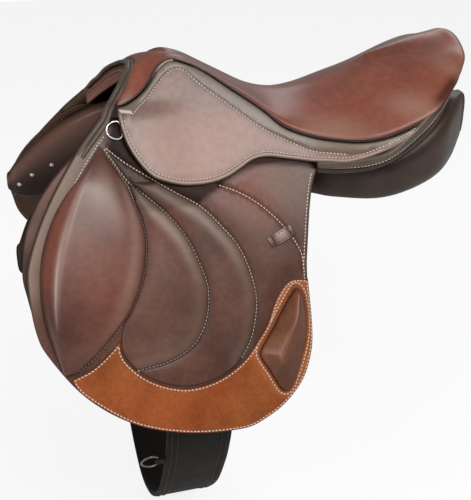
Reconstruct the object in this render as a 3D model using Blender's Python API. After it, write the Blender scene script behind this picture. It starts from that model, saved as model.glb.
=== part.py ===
"""All-purpose saddle with its girth, built from separate named pieces.

The frame: -X is the front (pommel), +X the back (cantle), -Y the near (left) side and +Z up.
The origin lies on the centre plane, at the line where the panels bear on the horse's back.
All lengths are metres.
"""
import math

import bmesh
import bpy
from mathutils import Matrix, Vector

# Seat
SEAT_FRONT = -0.228          # x of the skirts' front tips
SEAT_LENGTH = 0.464          # front tips to the back of the cantle
SEAT_LOW = 0.0565            # height of the seat's deepest point
POMMEL_RISE = 0.0555         # pommel top above the deepest point
CANTLE_RISE = 0.069          # cantle top above the deepest point
CANTLE_HALF_WIDTH = 0.150
CANTLE_DEPTH = 0.146         # plan depth of the half-round behind its centre
COVER_THICK = 0.0020
FOAM_THICK = 0.0200
WEB_THICK = 0.0018
TREE_THICK = 0.0100
LAYER_GAP = 0.0003

# Side surface: how far the outer face of the flap lies from the centre plane
SIDE_TOP = 0.120             # height where the spread starts
SIDE_HALF = 0.022
SIDE_SPREAD = 0.83
SIDE_CURVE = 0.58
REAR_WIDENING = 0.045
REAR_WIDENING_START = -0.030
REAR_WIDENING_RUN = 0.150

# Leather
FLAP_THICK = 0.0040
SKIRT_THICK = 0.0040
SKIRT_STANDOFF = 0.0078      # how far the skirt's front stands off, over the front dee
SWEAT_THICK = 0.0035
PANEL_GAP = 0.0008
STRAP_THICK = 0.0035
PATCH_THICK = 0.0025
CREASE_GAP = 0.0007          # half the slit at a flex line
SEAT_GAP = 0.0004            # sideways gap between layers that touch

# Flap
FLAP_FRONT = -0.352
FLAP_WIDTH = 0.352
FLAP_TOP = 0.056
FLAP_LENGTH = 0.333
KNEE_PAD_HEIGHT = 0.024
CRESCENT_HEIGHT = 0.0035
CALF_BLOCK_HEIGHT = 0.020
KEEPER_HEIGHT = 0.0055

# Room for tree points and girth between flap and sweat flap
ROOM_TOP = 0.0130
ROOM_LOW = 0.0187
ROOM_HIGH_Z = 0.010
ROOM_LOW_Z = -0.060

# Girth and straps
GIRTH_X = -0.174
GIRTH_WIDTH = 0.080
GIRTH_THICK = 0.0070
GIRTH_GAP = 0.0015           # room to swing, off the sweat flap
GIRTH_TOP_Z = -0.100
GIRTH_DROP = 0.522           # lowest point of the hanging loop
STRAP_WIDTH = 0.025
STRAP_SPACING = 0.042
STRAP_TOP_Z = 0.004
STRAP_LOW_Z = -0.150
BUCKLE_Z = -0.080
BUCKLE_WIRE = 0.0032

# Hardware
BAR_X = -0.162               # front end of the stirrup bar
BAR_Z = 0.022
BAR_LENGTH = 0.068
BAR_HEIGHT = 0.012
BAR_THICK = 0.0042
BAR_SLOT = 0.0062
BAR_PLATE = 0.0022
CATCH_LENGTH = 0.018
CATCH_RADIUS = 0.0046
CATCH_CLEAR = 0.0008
POINT_THICK = 0.0080
POINT_WIDTH = 0.032
POINT_LOW_Z = 0.010
DEE_WIRE = 0.0025
LOOP_THICK = 0.0010
LOOP_GAP = 0.00035
DEE_WIDTH = 0.024
DEE_REACH = 0.019
GIRTH_DEE_WIDTH = 0.026
GIRTH_DEE_REACH = 0.021

GRID = 0.030
PAD_GRID = 0.016
SKIRT_GRID = (0.022, 0.018)
LEFT, RIGHT = -1, 1
SIDE_NAME = {LEFT: "left", RIGHT: "right"}


def clamp(value, low=0.0, high=1.0):
    return max(low, min(high, value))


def smooth_step(value):
    value = clamp(value)
    return value * value * (3 - 2 * value)


def mix(a, b, share):
    return a + (b - a) * share


def catmull(points, steps, closed=False):
    """Points on a smooth curve through the given ones."""
    points = [Vector(p) for p in points]
    count = len(points)
    spans = count if closed else count - 1
    out = []
    for i in range(spans):
        if closed:
            p0, p1, p2, p3 = (points[(i + k) % count] for k in (-1, 0, 1, 2))
        else:
            p1, p2 = points[i], points[i + 1]
            p0 = points[i - 1] if i > 0 else p1 * 2 - p2
            p3 = points[i + 2] if i + 2 < count else p2 * 2 - p1
        for k in range(steps):
            t = k / steps
            out.append(0.5 * (2 * p1 + (p2 - p0) * t + (2 * p0 - 5 * p1 + 4 * p2 - p3) * t * t
                              + (3 * p1 - p0 - 3 * p2 + p3) * t ** 3))
    if not closed:
        out.append(points[-1])
    return out


def resample(points, count):
    """The same line with evenly spaced points."""
    lengths = [0.0]
    for a, b in zip(points, points[1:]):
        lengths.append(lengths[-1] + (b - a).length)
    out = []
    i = 0
    for k in range(count):
        want = lengths[-1] * k / (count - 1)
        while i < len(points) - 2 and lengths[i + 1] < want:
            i += 1
        span = lengths[i + 1] - lengths[i]
        out.append(points[i].lerp(points[i + 1], clamp((want - lengths[i]) / span)))
    return out


def keyed(table, at, column):
    """A column of a table, read smoothly at a place along its first column."""
    for low, high in zip(table, table[1:]):
        if at <= high[0]:
            return mix(low[column], high[column], smooth_step((at - low[0]) / (high[0] - low[0])))
    return table[-1][column]


# Side surface and the layers on it

def half_width(x, z):
    depth = max(0.0, SIDE_TOP - z)
    rear = smooth_step((x - REAR_WIDENING_START) / REAR_WIDENING_RUN)
    high = smooth_step((z + 0.070) / 0.070)
    return SIDE_HALF + SIDE_SPREAD * depth - SIDE_CURVE * depth * depth + REAR_WIDENING * rear * high


def side_room(z):
    """Clear depth between the flap and the sweat flap."""
    return mix(ROOM_TOP, ROOM_LOW, smooth_step((ROOM_HIGH_Z - z) / (ROOM_HIGH_Z - ROOM_LOW_Z)))


def layer(offset):
    """A surface parallel to the flap's outer face, offset outwards."""
    return lambda x, z: half_width(x, z) + offset


def sweat_outer(x, z):
    return half_width(x, z) - FLAP_THICK - side_room(z)


def sweat_inner(x, z):
    return sweat_outer(x, z) - SWEAT_THICK


def skirt_lift(x, z):
    """The skirt's front stands off the flap, over the front dee; its tail lies a little looser."""
    front = smooth_step((seat_x(14.0) - x) / 0.030)
    low = smooth_step((0.070 - z) / 0.018)
    tail = smooth_step((x + 0.060) / 0.030)
    return SEAT_GAP + SKIRT_STANDOFF * front * low + 0.0006 * tail


def skirt_inner(x, z):
    return half_width(x, z) + skirt_lift(x, z)


def skirt_outer(x, z):
    return skirt_inner(x, z) + SKIRT_THICK


def seat_x(percent):
    return SEAT_FRONT + SEAT_LENGTH * percent / 100


def seat_points(pairs):
    return [(seat_x(a), z) for a, z in pairs]


def flap_points(pairs):
    return [(FLAP_FRONT + FLAP_WIDTH * u / 100, FLAP_TOP - FLAP_LENGTH * v / 100) for u, v in pairs]


def side_point(x, z, offset, side):
    return Vector((x, side * (half_width(x, z) + offset), z))


def side_frame(x, z, offset, side):
    """A frame on the side surface, moved outwards square to it: along, up the slope and outwards."""
    step = 0.001
    up = (side_point(x, z + step, 0, side) - side_point(x, z - step, 0, side)).normalized()
    along = Vector((1, 0, 0))
    out = along.cross(up)
    out = out if out.y * side > 0 else -out
    frame = Matrix((along, up, out)).transposed().to_4x4()
    frame.translation = side_point(x, z, 0, side) + out * offset
    return frame


def slope_share(x, z):
    """Thickness square to the side surface for each unit of thickness across the saddle."""
    return abs(side_frame(x, z, 0, RIGHT).col[2].y)


# Lines of the pieces, as percent of the seat's length and heights

SEAM = seat_points([
    (0.1, 0.0642), (3.1, 0.0671), (6.7, 0.0758), (9.7, 0.0878), (12.4, 0.1010), (15.6, 0.1075),
    (19.2, 0.1037), (23.7, 0.0943), (30.6, 0.0728), (37.5, 0.0510), (42.8, 0.0310), (49.9, 0.0195),
    (56.9, 0.0158), (62.2, 0.0162), (67.8, 0.0212), (74.2, 0.0300), (81.5, 0.0431)])
SKIRT_LOW = seat_points([
    (77.7, 0.0301), (73.8, 0.0206), (65.3, 0.0054), (57.8, -0.0050), (52.9, -0.0056), (48.7, -0.0052),
    (43.1, -0.0016), (37.3, 0.0027), (33.2, 0.0010), (29.4, -0.0066), (25.5, -0.0142), (20.5, -0.0186), (15.0, -0.0178),
    (10.7, -0.0131), (6.2, -0.0040), (3.0, 0.0130), (0.9, 0.0322), (-0.2, 0.0573)])
SKIRT_FLEX = (Vector((seat_x(-0.1), 0.0500)), Vector((seat_x(33.4), 0.0035)))
FLAP_FLEX = (Vector((FLAP_FRONT + FLAP_WIDTH * 0.148, 0.0083)), Vector((FLAP_FRONT + FLAP_WIDTH * 0.966, -0.0490)))

FLAP_EDGE = flap_points([
    (29.5, 0.3), (19.9, 10.5), (8.5, 25.8), (1.4, 39.9), (0.0, 49.2), (0.9, 61.0), (4.0, 68.8),
    (13.9, 82.3), (28.1, 92.8), (45.5, 98.5), (63.4, 100.0), (72.2, 97.6), (79.5, 93.4), (85.8, 87.1),
    (89.5, 79.6), (91.2, 71.5), (92.0, 54.4), (93.7, 44.4), (96.0, 34.5), (98.3, 26.7), (100.8, 21.0)])
FLAP_TOP_EDGE = flap_points([
    (97.2, 16.8), (88.6, 9.0), (74.4, -0.6), (63.1, -6.6), (53.1, -7.8), (44.6, -1.8), (36.1, 1.2)])
KNEE_EDGE = flap_points([
    (27.8, 8.7), (34.1, 19.2), (36.6, 25.8), (38.6, 33.3), (38.4, 41.1), (36.1, 48.9), (32.4, 55.9),
    (28.1, 61.3), (20.2, 68.5), (12.8, 73.6), (8.0, 74.5), (5.4, 66.4), (3.7, 58.6), (3.4, 50.5),
    (4.3, 42.6), (6.5, 35.4), (10.5, 27.9), (15.3, 21.9), (20.2, 17.4), (24.4, 12.6)])
INNER_ARC = flap_points([
    (29.2, 9.6), (35.5, 19.8), (41.5, 25.2), (47.2, 30.9), (52.0, 37.5), (55.1, 45.0), (57.1, 53.2),
    (56.3, 60.4), (53.7, 66.7), (49.1, 71.5), (41.5, 74.8), (30.7, 76.3)])
OUTER_ARC = flap_points([
    (29.8, 9.4), (35.2, 14.1), (44.0, 20.1), (50.9, 24.6), (58.5, 29.4), (65.1, 36.6), (69.6, 43.2),
    (72.2, 51.1), (73.0, 59.2), (71.3, 67.0), (68.8, 72.7), (65.3, 77.2)])
PATCH_TOP = flap_points([
    (9.4, 76.0), (17.0, 73.2), (24.0, 68.2), (28.6, 63.4), (26.6, 67.3), (27.0, 71.5), (30.2, 75.8),
    (34.4, 79.3), (39.8, 82.1), (46.6, 83.8), (54.3, 83.2), (61.1, 80.8), (67.1, 76.9), (71.3, 72.4),
    (75.3, 67.6), (78.4, 61.9), (82.1, 57.1), (85.8, 54.7), (91.2, 55.0)])
CALF_EDGE = flap_points([
    (86.9, 57.4), (89.0, 58.9), (88.9, 66.7), (87.2, 74.2), (83.5, 83.8), (80.7, 88.9), (77.8, 89.2),
    (75.9, 86.2), (71.6, 76.6), (75.3, 72.4), (79.5, 66.7), (83.2, 60.4)])
CALF_RIDGE = flap_points([(86.6, 62.0), (75.6, 77.5)])
SWEAT_EDGE = flap_points([
    (27.0, 7.0), (18.0, 13.5), (10.8, 20.0), (4.6, 28.0), (0.6, 36.5), (-1.2, 46.0), (-0.6, 52.5),
    (1.5, 62.0), (7.0, 71.0), (17.0, 79.5), (31.0, 85.0), (52.0, 87.5), (69.0, 86.5), (83.0, 78.0),
    (88.0, 62.0), (91.0, 44.0), (94.0, 27.0), (88.0, 15.0), (74.0, 9.0), (57.0, 8.0), (41.0, 8.0)])


# Mesh makers

def material(name, colour, roughness, metallic=0.0):
    found = bpy.data.materials.get(name)
    if found:
        return found
    made = bpy.data.materials.new(name)
    made.use_nodes = True
    shader = made.node_tree.nodes["Principled BSDF"]
    shader.inputs["Base Color"].default_value = (*colour, 1.0)
    shader.inputs["Roughness"].default_value = roughness
    shader.inputs["Metallic"].default_value = metallic
    made.diffuse_color = (*colour, 1.0)
    return made


LOOKS = {
    "seat_leather": ((0.235, 0.070, 0.042), 0.38),
    "flap_leather": ((0.160, 0.070, 0.050), 0.42),
    "pad_leather": ((0.150, 0.058, 0.042), 0.38),
    "grain_leather": ((0.330, 0.120, 0.045), 0.60),
    "panel_leather": ((0.050, 0.028, 0.022), 0.50),
    "black_web": ((0.012, 0.012, 0.014), 0.70),
    "wood": ((0.400, 0.270, 0.150), 0.60),
    "webbing": ((0.550, 0.520, 0.450), 0.80),
    "foam": ((0.600, 0.580, 0.500), 0.90),
    "steel": ((0.620, 0.620, 0.610), 0.28, 1.0),
}


def look(name):
    return material(name, *LOOKS[name])


def finish(name, bm, look_name, smooth_angle=35):
    """Turns a closed bmesh into a named object."""
    bmesh.ops.recalc_face_normals(bm, faces=bm.faces)
    mesh = bpy.data.meshes.new(name)
    bm.to_mesh(mesh)
    bm.free()
    if smooth_angle:
        mesh.shade_smooth()
        mesh.set_sharp_from_angle(angle=math.radians(smooth_angle))
    made = bpy.data.objects.new(name, mesh)
    made.data.materials.append(look(look_name))
    bpy.context.collection.objects.link(made)
    return made


def flat_mesh(outline, grid, cuts=()):
    """The outline as a flat face in the XZ plane, cut by grid lines and trimmed by half planes."""
    bm = bmesh.new()
    bm.faces.new([bm.verts.new((p[0], 0.0, p[1])) for p in outline])
    for point, normal in cuts:
        bmesh.ops.bisect_plane(bm, geom=bm.verts[:] + bm.edges[:] + bm.faces[:], dist=1e-6,
                               plane_co=(point[0], 0, point[1]), plane_no=(normal[0], 0, normal[1]),
                               clear_outer=True)
    for axis, step in zip((0, 2), grid):
        if not step:
            continue
        values = [v.co[axis] for v in bm.verts]
        for k in range(math.ceil(min(values) / step), math.floor(max(values) / step) + 1):
            normal = Vector((1, 0, 0)) if axis == 0 else Vector((0, 0, 1))
            bmesh.ops.bisect_plane(bm, geom=bm.verts[:] + bm.edges[:] + bm.faces[:], dist=1e-6,
                                   plane_co=normal * k * step, plane_no=normal)
    bmesh.ops.triangulate(bm, faces=bm.faces[:])
    return bm


def edge_distance(outline, x, z):
    """Distance from a point to the outline."""
    best = 1.0
    for a, b in zip(outline, outline[1:] + outline[:1]):
        ax, az = a[0], a[1]
        dx, dz = b[0] - ax, b[1] - az
        t = clamp(((x - ax) * dx + (z - az) * dz) / (dx * dx + dz * dz))
        best = min(best, math.hypot(x - ax - t * dx, z - az - t * dz))
    return best


def sheet(name, outline, inner, outer, side, look_name, grid=(0, GRID), cuts=()):
    """A closed piece between two side surfaces, inside an outline seen from the side."""
    flat = flat_mesh(outline, grid, cuts)
    bm = bmesh.new()
    near = {}
    far = {}
    for v in flat.verts:
        x, z = v.co.x, v.co.z
        near[v] = bm.verts.new((x, side * outer(x, z), z))
        far[v] = bm.verts.new((x, side * inner(x, z), z))
    for face in flat.faces:
        bm.faces.new([near[v] for v in face.verts])
        bm.faces.new([far[v] for v in reversed(face.verts)])
    for edge in flat.edges:
        if edge.is_boundary:
            a, b = edge.verts
            bm.faces.new((near[a], near[b], far[b]))
            bm.faces.new((near[a], far[b], far[a]))
    flat.free()
    return finish(name, bm, look_name)


def pad(name, outline, base, rise, run, side, look_name, cuts=(), edge=0.0012):
    """A domed pad on a side surface; run is how far in from its edge it reaches full height."""
    def top(x, z):
        share = clamp(edge_distance(outline, x, z) / run)
        return base(x, z) + edge + (rise - edge) * math.sqrt(1 - (1 - share) ** 2)
    return sheet(name, outline, base, top, side, look_name, (PAD_GRID, PAD_GRID), cuts)


def loft(name, rings, look_name, closed=False, smooth_angle=35, caps=None):
    """Joins rings of points, with flat triangulated ends unless closed; caps lists the ends' faces."""
    bm = bmesh.new()
    rows = [[bm.verts.new(p) for p in ring] for ring in rings]
    count = len(rows[0])
    pairs = list(zip(rows, rows[1:] + rows[:1])) if closed else list(zip(rows, rows[1:]))
    for low, high in pairs:
        for i in range(count):
            j = (i + 1) % count
            bm.faces.new((low[i], low[j], high[j]))
            bm.faces.new((low[i], high[j], high[i]))
    if not closed:
        for row in (rows[0], rows[-1]):
            for cap in caps or [range(count)]:
                bm.faces.new([row[i] for i in cap])
        bmesh.ops.triangulate(bm, faces=[f for f in bm.faces if len(f.verts) > 3])
    return finish(name, bm, look_name, smooth_angle)


def round_section(width, height, sides=8):
    return [(width / 2 * math.cos(2 * math.pi * k / sides), height / 2 * math.sin(2 * math.pi * k / sides))
            for k in range(sides)]


def box_section(width, height):
    return [(-width / 2, -height / 2), (width / 2, -height / 2), (width / 2, height / 2), (-width / 2, height / 2)]


def swept_rings(path, section, out, closed):
    """Section rings along a path; out is the direction of the section's second axis."""
    rings = []
    count = len(path)
    for i, point in enumerate(path):
        before = path[i - 1] if i > 0 or closed else point
        after = path[(i + 1) % count] if i + 1 < count or closed else point
        tangent = (after - before).normalized()
        high = out(point) if callable(out) else Vector(out)
        high = (high - tangent * high.dot(tangent)).normalized()
        wide = tangent.cross(high)
        rings.append([point + wide * a + high * b for a, b in section])
    return rings


def sweep(name, path, section, out, look_name, closed=False, smooth_angle=50):
    return loft(name, swept_rings(path, section, out, closed), look_name, closed, smooth_angle)


def dee_path(frame, width, reach, steps=7):
    """A dee in a frame's first two axes: its straight bar on the second axis, its bow along -first."""
    corner = width * 0.16
    points = [Vector((0, -width / 2 + corner, 0)), Vector((0, 0, 0)), Vector((0, width / 2 - corner, 0))]
    for k in range(steps):
        angle = math.pi * (0.5 + (k + 0.3) / (steps - 0.4) * 1.0)
        points.append(Vector((-corner + (reach - corner) * math.cos(angle), width / 2 * math.sin(angle), 0)))
    return [frame @ p for p in points]


def plate(name, frame, corners, low, high, look_name):
    """A flat plate: corners in a frame's first two axes, from low to high along the third."""
    rings = [[frame @ Vector((a, b, w)) for a, b in corners] for w in (low, high)]
    return loft(name, rings, look_name, smooth_angle=0)


# Seat

SPINE = [
    (7.8, POMMEL_RISE - 0.0100), (13.6, POMMEL_RISE), (19.0, POMMEL_RISE - 0.0040), (27.6, POMMEL_RISE - 0.0240),
    (36.2, POMMEL_RISE - 0.0445), (44.8, 0.0005), (52.4, 0.0), (59.9, 0.0095), (71.8, 0.0345)]
RIBS = [
    (0.00, 14.7, 0.002, 0.012, 0.003), (0.12, 14.9, -0.003, 0.010, 0.000), (0.19, 16.2, -0.008, 0.009, 0.000),
    (0.32, 20.4, -0.004, 0.009, 0.000), (0.42, 33.0, 0.002, 0.012, 0.001), (0.53, 49.1, 0.008, 0.020, 0.000),
    (0.70, 64.2, 0.012, 0.035, 0.003), (0.82, 68.5, 0.022, 0.044, 0.012), (1.00, 71.8, 0.034, 0.058, 0.028)]
SEAT_STEPS = 12
FOAM_STEPS = 6
WEB_STEPS = 5
TREE_FROM = 2
TREE_TO = 5


def spine_height(x):
    for a, b in zip(SPINE_CURVE, SPINE_CURVE[1:]):
        if x <= b.x:
            return mix(a.z, b.z, clamp((x - a.x) / (b.x - a.x)))
    return SPINE_CURVE[-1].z


CANTLE_TOP = SEAT_LOW + CANTLE_RISE - 0.0350   # height of the seat's lower edge at the very back
CANTLE_FALL = [                                # degrees from the back, fall of the seat's edge, fall of the band's
    (0.0, 0.0, 0.0090), (30.0, 0.0025, 0.0115), (44.0, 0.0095, 0.0200), (50.0, 0.0180, 0.0330),
    (58.0, 0.0320, 0.0540), (65.0, 0.0440, 0.0690), (72.0, 0.0525, 0.0800), (80.0, 0.0605, 0.0900)]


def fall_at(degrees, column):
    for low, high in zip(CANTLE_FALL, CANTLE_FALL[1:]):
        if degrees <= high[0]:
            return mix(low[column], high[column], (degrees - low[0]) / (high[0] - low[0]))
    return CANTLE_FALL[-1][column]


def cantle_arc(angle, column=1):
    """A point of the seat's lower edge round the back; angle 0 is its middle."""
    centre = SEAT_FRONT + SEAT_LENGTH - CANTLE_DEPTH
    return Vector((centre + CANTLE_DEPTH * math.cos(angle), CANTLE_HALF_WIDTH * math.sin(angle),
                   CANTLE_TOP - fall_at(math.degrees(angle), column)))


def raised(line, by):
    """A line of (x, z) points moved upwards, square to itself."""
    out = []
    for i, p in enumerate(line):
        a, b = line[max(i - 1, 0)], line[min(i + 1, len(line) - 1)]
        d = Vector((b[0] - a[0], b[1] - a[1])).normalized()
        out.append((p[0] - d.y * by, p[1] + d.x * by))
    return out


def seat_edge():
    """The seat's lower edge on one side, from the front centre round to the back centre."""
    top = SEAT_LOW + POMMEL_RISE
    front = [(seat_x(7.8), 0.0, top - 0.0090), (seat_x(6.2), 0.026, top - 0.0140), (seat_x(2.8), 0.050, top - 0.0290)]
    side = [(x, skirt_outer(x, z), z) for x, z in raised(SEAM[:-1], 0.0026)]
    arc = [cantle_arc(math.radians(a)) for a in (65, 58, 50, 44, 30, 15, 0)]
    return [Vector(p) for p in front + side + arc]


def length_shares(points):
    """How far along a line each of its points lies, from 0 to 1."""
    lengths = [0.0]
    for a, b in zip(points, points[1:]):
        lengths.append(lengths[-1] + (b - a).length)
    return [length / lengths[-1] for length in lengths]


SPINE_CURVE = catmull([(seat_x(a), 0.0, SEAT_LOW + z) for a, z in SPINE], 8)
EDGE = seat_edge()
EDGE_SHARES = length_shares(EDGE)
SEAT_STATIONS = len(EDGE) - 1


def seat_rib(index, share):
    """A point on the seat's top: share 0 at the centre line, 1 at the lower edge."""
    at = EDGE_SHARES[index]
    edge = EDGE[index]
    foot_x = seat_x(keyed(RIBS, at, 1))
    foot = Vector((foot_x, 0, spine_height(foot_x)))
    out, up, lift = (keyed(RIBS, at, c) for c in (2, 3, 4))
    plan = Vector((edge.x - foot.x, edge.y, 0))
    p1 = foot + plan * 0.5 + Vector((0, 0, lift))
    p2 = edge + plan.normalized() * out + Vector((0, 0, up))
    s = 1 - share
    return foot * s ** 3 + p1 * 3 * share * s * s + p2 * 3 * share * share * s + edge * share ** 3


def seat_grid():
    """The seat's top as keyed points, their normals and its faces, for both sides."""
    bm = bmesh.new()
    verts = {}

    def key(side, i, j):
        return (RIGHT if i in (0, SEAT_STATIONS) or j == 0 else side, i, j)

    for side in (LEFT, RIGHT):
        for i in range(SEAT_STATIONS + 1):
            for j in range(SEAT_STEPS + 1):
                if key(side, i, j) not in verts:
                    at = seat_rib(i, j / SEAT_STEPS)
                    verts[key(side, i, j)] = bm.verts.new((at.x, at.y * side, at.z))
    faces = []
    for side in (LEFT, RIGHT):
        for i in range(SEAT_STATIONS):
            for j in range(SEAT_STEPS):
                ring = [key(side, i, j), key(side, i, j + 1), key(side, i + 1, j + 1), key(side, i + 1, j)]
                ring = ring[::side]
                faces.append((j, ring))
                bm.faces.new([verts[k] for k in ring])
    bm.normal_update()
    turn = 1 if sum(f.normal.z for f in bm.faces) > 0 else -1
    points = {k: v.co.copy() for k, v in verts.items()}
    normals = {k: v.normal * turn for k, v in verts.items()}
    bm.free()
    for k in normals:
        flatter = {SEAT_STEPS: 0.0, SEAT_STEPS - 1: 0.2, SEAT_STEPS - 2: 0.7}
        normals[k].z *= flatter.get(k[2], 1.0)
        normals[k].normalize()
    return points, normals, faces


def seat_slab(name, steps, top, low, look_name):
    """A closed slab of the seat between two rib steps; top and low move a point, given its normal."""
    points, normals, faces = seat_grid()
    bm = bmesh.new()
    used = [ring for j, ring in faces if steps[0] <= j < steps[1]]
    keys = {k for ring in used for k in ring}
    upper = {k: bm.verts.new(top(points[k], normals[k])) for k in keys}
    lower = {k: bm.verts.new(low(points[k], normals[k])) for k in keys}
    sides = {}
    for ring in used:
        bm.faces.new([upper[k] for k in ring])
        bm.faces.new([lower[k] for k in (ring[0], *ring[:0:-1])])
        for a, b in zip(ring, ring[1:] + ring[:1]):
            if (b, a) in sides:
                del sides[(b, a)]
            else:
                sides[(a, b)] = True
    for a, b in sides:
        bm.faces.new((upper[b], upper[a], lower[a], lower[b]))
    bmesh.ops.triangulate(bm, faces=bm.faces[:], quad_method="FIXED")
    return finish(name, bm, look_name, 50)


def seat_stack():
    """The seat from the top down: cover, foam, webbing and the tree's side rails."""
    down = Vector((0, 0, -1))
    inset = COVER_THICK + LAYER_GAP
    seat_slab("seat_cover", (0, SEAT_STEPS), lambda p, n: p, lambda p, n: p - n * COVER_THICK, "seat_leather")
    depth = 0.0
    for name, steps, thick, look_name in (
            ("seat_foam", (0, FOAM_STEPS), FOAM_THICK, "foam"), ("seat_web", (0, WEB_STEPS), WEB_THICK, "webbing"),
            ("tree", (TREE_FROM, TREE_TO), TREE_THICK, "wood")):
        seat_slab(name, steps, lambda p, n, d=depth: p - n * inset + down * d,
                  lambda p, n, d=depth + thick: p - n * inset + down * d, look_name)
        depth += thick + LAYER_GAP


def head_arch():
    """The steel arch of the tree, from one point tip over the head to the other."""
    x = seat_x(6.6)
    leg = []
    for k in range(6):
        z = mix(POINT_LOW_Z, 0.040, k / 5)
        depth = FLAP_THICK + SEAT_GAP + POINT_THICK / 2 / slope_share(x, z)
        leg.append((x + 0.004 * k / 5, half_width(x, z) - depth - 0.0016 * max(0, k - 3), z))
    top_x = seat_x(8.0)
    crown = [(top_x, 0.046, 0.0530), (top_x, 0.024, 0.0620), (top_x, 0.0, 0.0645)]
    half = [Vector(p) for p in leg + crown]
    mirrored = [Vector((p.x, -p.y, p.z)) for p in reversed(half[:-1])]
    path = resample(catmull(half + mirrored, 4), 37)
    slope = side_frame(x, 0.030, 0, RIGHT).col[2]

    def out(point):
        side = 1 if point.y > 0 else -1
        flat = smooth_step((0.075 - abs(point.y)) / 0.060)
        return Vector((0, side * slope.y, slope.z)).lerp(Vector((0, 0, 1)), flat)

    sweep("head_arch", path, box_section(POINT_WIDTH, POINT_THICK), out, "steel", smooth_angle=60)


def pommel_facing():
    """The leather face of the head arch, between the seat's front welt and the gullet."""
    top = SEAT_LOW + POMMEL_RISE
    sides = [(-4.6, 0.0510), (-1.6, 0.0640), (1.6, 0.0770)]
    outer = [(seat_x(a), half_width(seat_x(a), z) - FLAP_THICK - 0.0010, z) for a, z in sides]
    outer += [(seat_x(4.8), 0.0280, 0.0900), (seat_x(6.0), 0.0, top - 0.0140)]
    inner = [(seat_x(-4.6), 0.0520, 0.0400), (seat_x(-1.6), 0.0480, 0.0510), (seat_x(1.4), 0.0380, 0.0630),
             (seat_x(3.6), 0.0200, 0.0740), (seat_x(4.6), 0.0, 0.0770)]

    def both(line):
        line = catmull(line, 4)
        return line + [Vector((p.x, -p.y, p.z)) for p in reversed(line[:-1])]

    thick = Vector((-0.0030, 0, 0))
    rings = [[a, b, b + thick, a + thick] for a, b in zip(both(outer), both(inner))]
    loft("pommel_facing", rings, "panel_leather")


def cantle_facing():
    """The band that runs under the seat's back edge, from one skirt's tail to the other's."""
    centre = SEAT_FRONT + SEAT_LENGTH - CANTLE_DEPTH
    half = []
    for edge in EDGE:
        angle = math.atan2(edge.y / CANTLE_HALF_WIDTH, (edge.x - centre) / CANTLE_DEPTH)
        if angle > math.radians(62):
            continue
        normal = Vector((math.cos(angle) * CANTLE_HALF_WIDTH, math.sin(angle) * CANTLE_DEPTH, 0)).normalized()
        low = Vector((edge.x, edge.y, CANTLE_TOP - fall_at(math.degrees(angle), 2)))
        half.append((edge, low, normal))
    both = half + [tuple(Vector((p.x, -p.y, p.z)) for p in row) for row in reversed(half[:-1])]
    rings = []
    for edge, low, normal in both:
        top = edge - Vector((0, 0, 0.0008)) - normal * 0.0024
        low = low - normal * 0.0054
        rings.append([top, top - normal * 0.0035, low - normal * 0.0035, low])
    loft("cantle_facing", rings, "panel_leather")


# Flap side pieces

def smooth_outline(points, steps=3):
    return [(p.x, p.y) for p in catmull([(a, b, 0) for a, b in points], steps, closed=True)]


def joined_outline(*runs, steps=3):
    """An outline from runs that are smooth each and meet at corners."""
    out = []
    for run in runs:
        line = catmull([(a, b, 0) for a, b in run], steps)
        out += [(p.x, p.y) for p in line]
    tidy = []
    for p in out:
        if not tidy or math.hypot(p[0] - tidy[-1][0], p[1] - tidy[-1][1]) > 0.0008:
            tidy.append(p)
    if math.hypot(tidy[0][0] - tidy[-1][0], tidy[0][1] - tidy[-1][1]) < 0.0008:
        tidy.pop()
    return tidy


def flex_cut(flex, keep_low, gap=CREASE_GAP):
    """A half plane along a flex line, that keeps what lies below it or above it."""
    up = flex_up(flex)
    way = up if keep_low else -up
    return (flex[0] - way * gap, way)


def flex_axis(flex, outer, side):
    """Two points of the joint axis, just outside the outer face along a flex line."""
    ends = [Vector((p.x, side * outer(p.x, p.y), p.y)) for p in flex]
    bulge = 0.0
    for k in range(1, 20):
        p = flex[0].lerp(flex[1], k / 20)
        on_line = mix(abs(ends[0].y), abs(ends[1].y), k / 20)
        bulge = max(bulge, outer(p.x, p.y) - on_line)
    shift = Vector((0, side * (bulge + 0.0002), 0))
    return ends[0] + shift, ends[1] + shift


def hung_on(piece, empty):
    piece.parent = empty
    piece.matrix_parent_inverse = empty.matrix_world.inverted()


def axis_empty(name, point, direction):
    """An empty on a joint's axis, its X along the axis."""
    made = bpy.data.objects.new(name, None)
    made.matrix_world = Matrix.Translation(point) @ direction.to_track_quat("X", "Z").to_matrix().to_4x4()
    bpy.context.collection.objects.link(made)
    bpy.context.view_layer.update()
    return made


def skirts(side):
    end = SIDE_NAME[side]
    outline = joined_outline(SEAM, [SEAM[-1], SKIRT_LOW[0]], SKIRT_LOW)
    band_outline = above_line(outline, SKIRT_FLEX, CREASE_GAP)
    sheet("skirt_band_" + end, band_outline, skirt_inner, skirt_outer, side, "flap_leather", SKIRT_GRID)
    lobe_outline = below_line(outline, SKIRT_FLEX, CREASE_GAP)
    lobe = sheet("skirt_" + end, lobe_outline, skirt_inner, skirt_outer, side, "flap_leather", SKIRT_GRID)
    front, rear = flex_axis(SKIRT_FLEX, skirt_outer, side)
    hung_on(lobe, axis_empty("skirt_axis_" + end, front, rear - front))


def flex_up(flex):
    """The direction square to a flex line, upwards."""
    along = (flex[1] - flex[0]).normalized()
    up = Vector((-along.y, along.x))
    return up if up.y > 0 else -up


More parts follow.
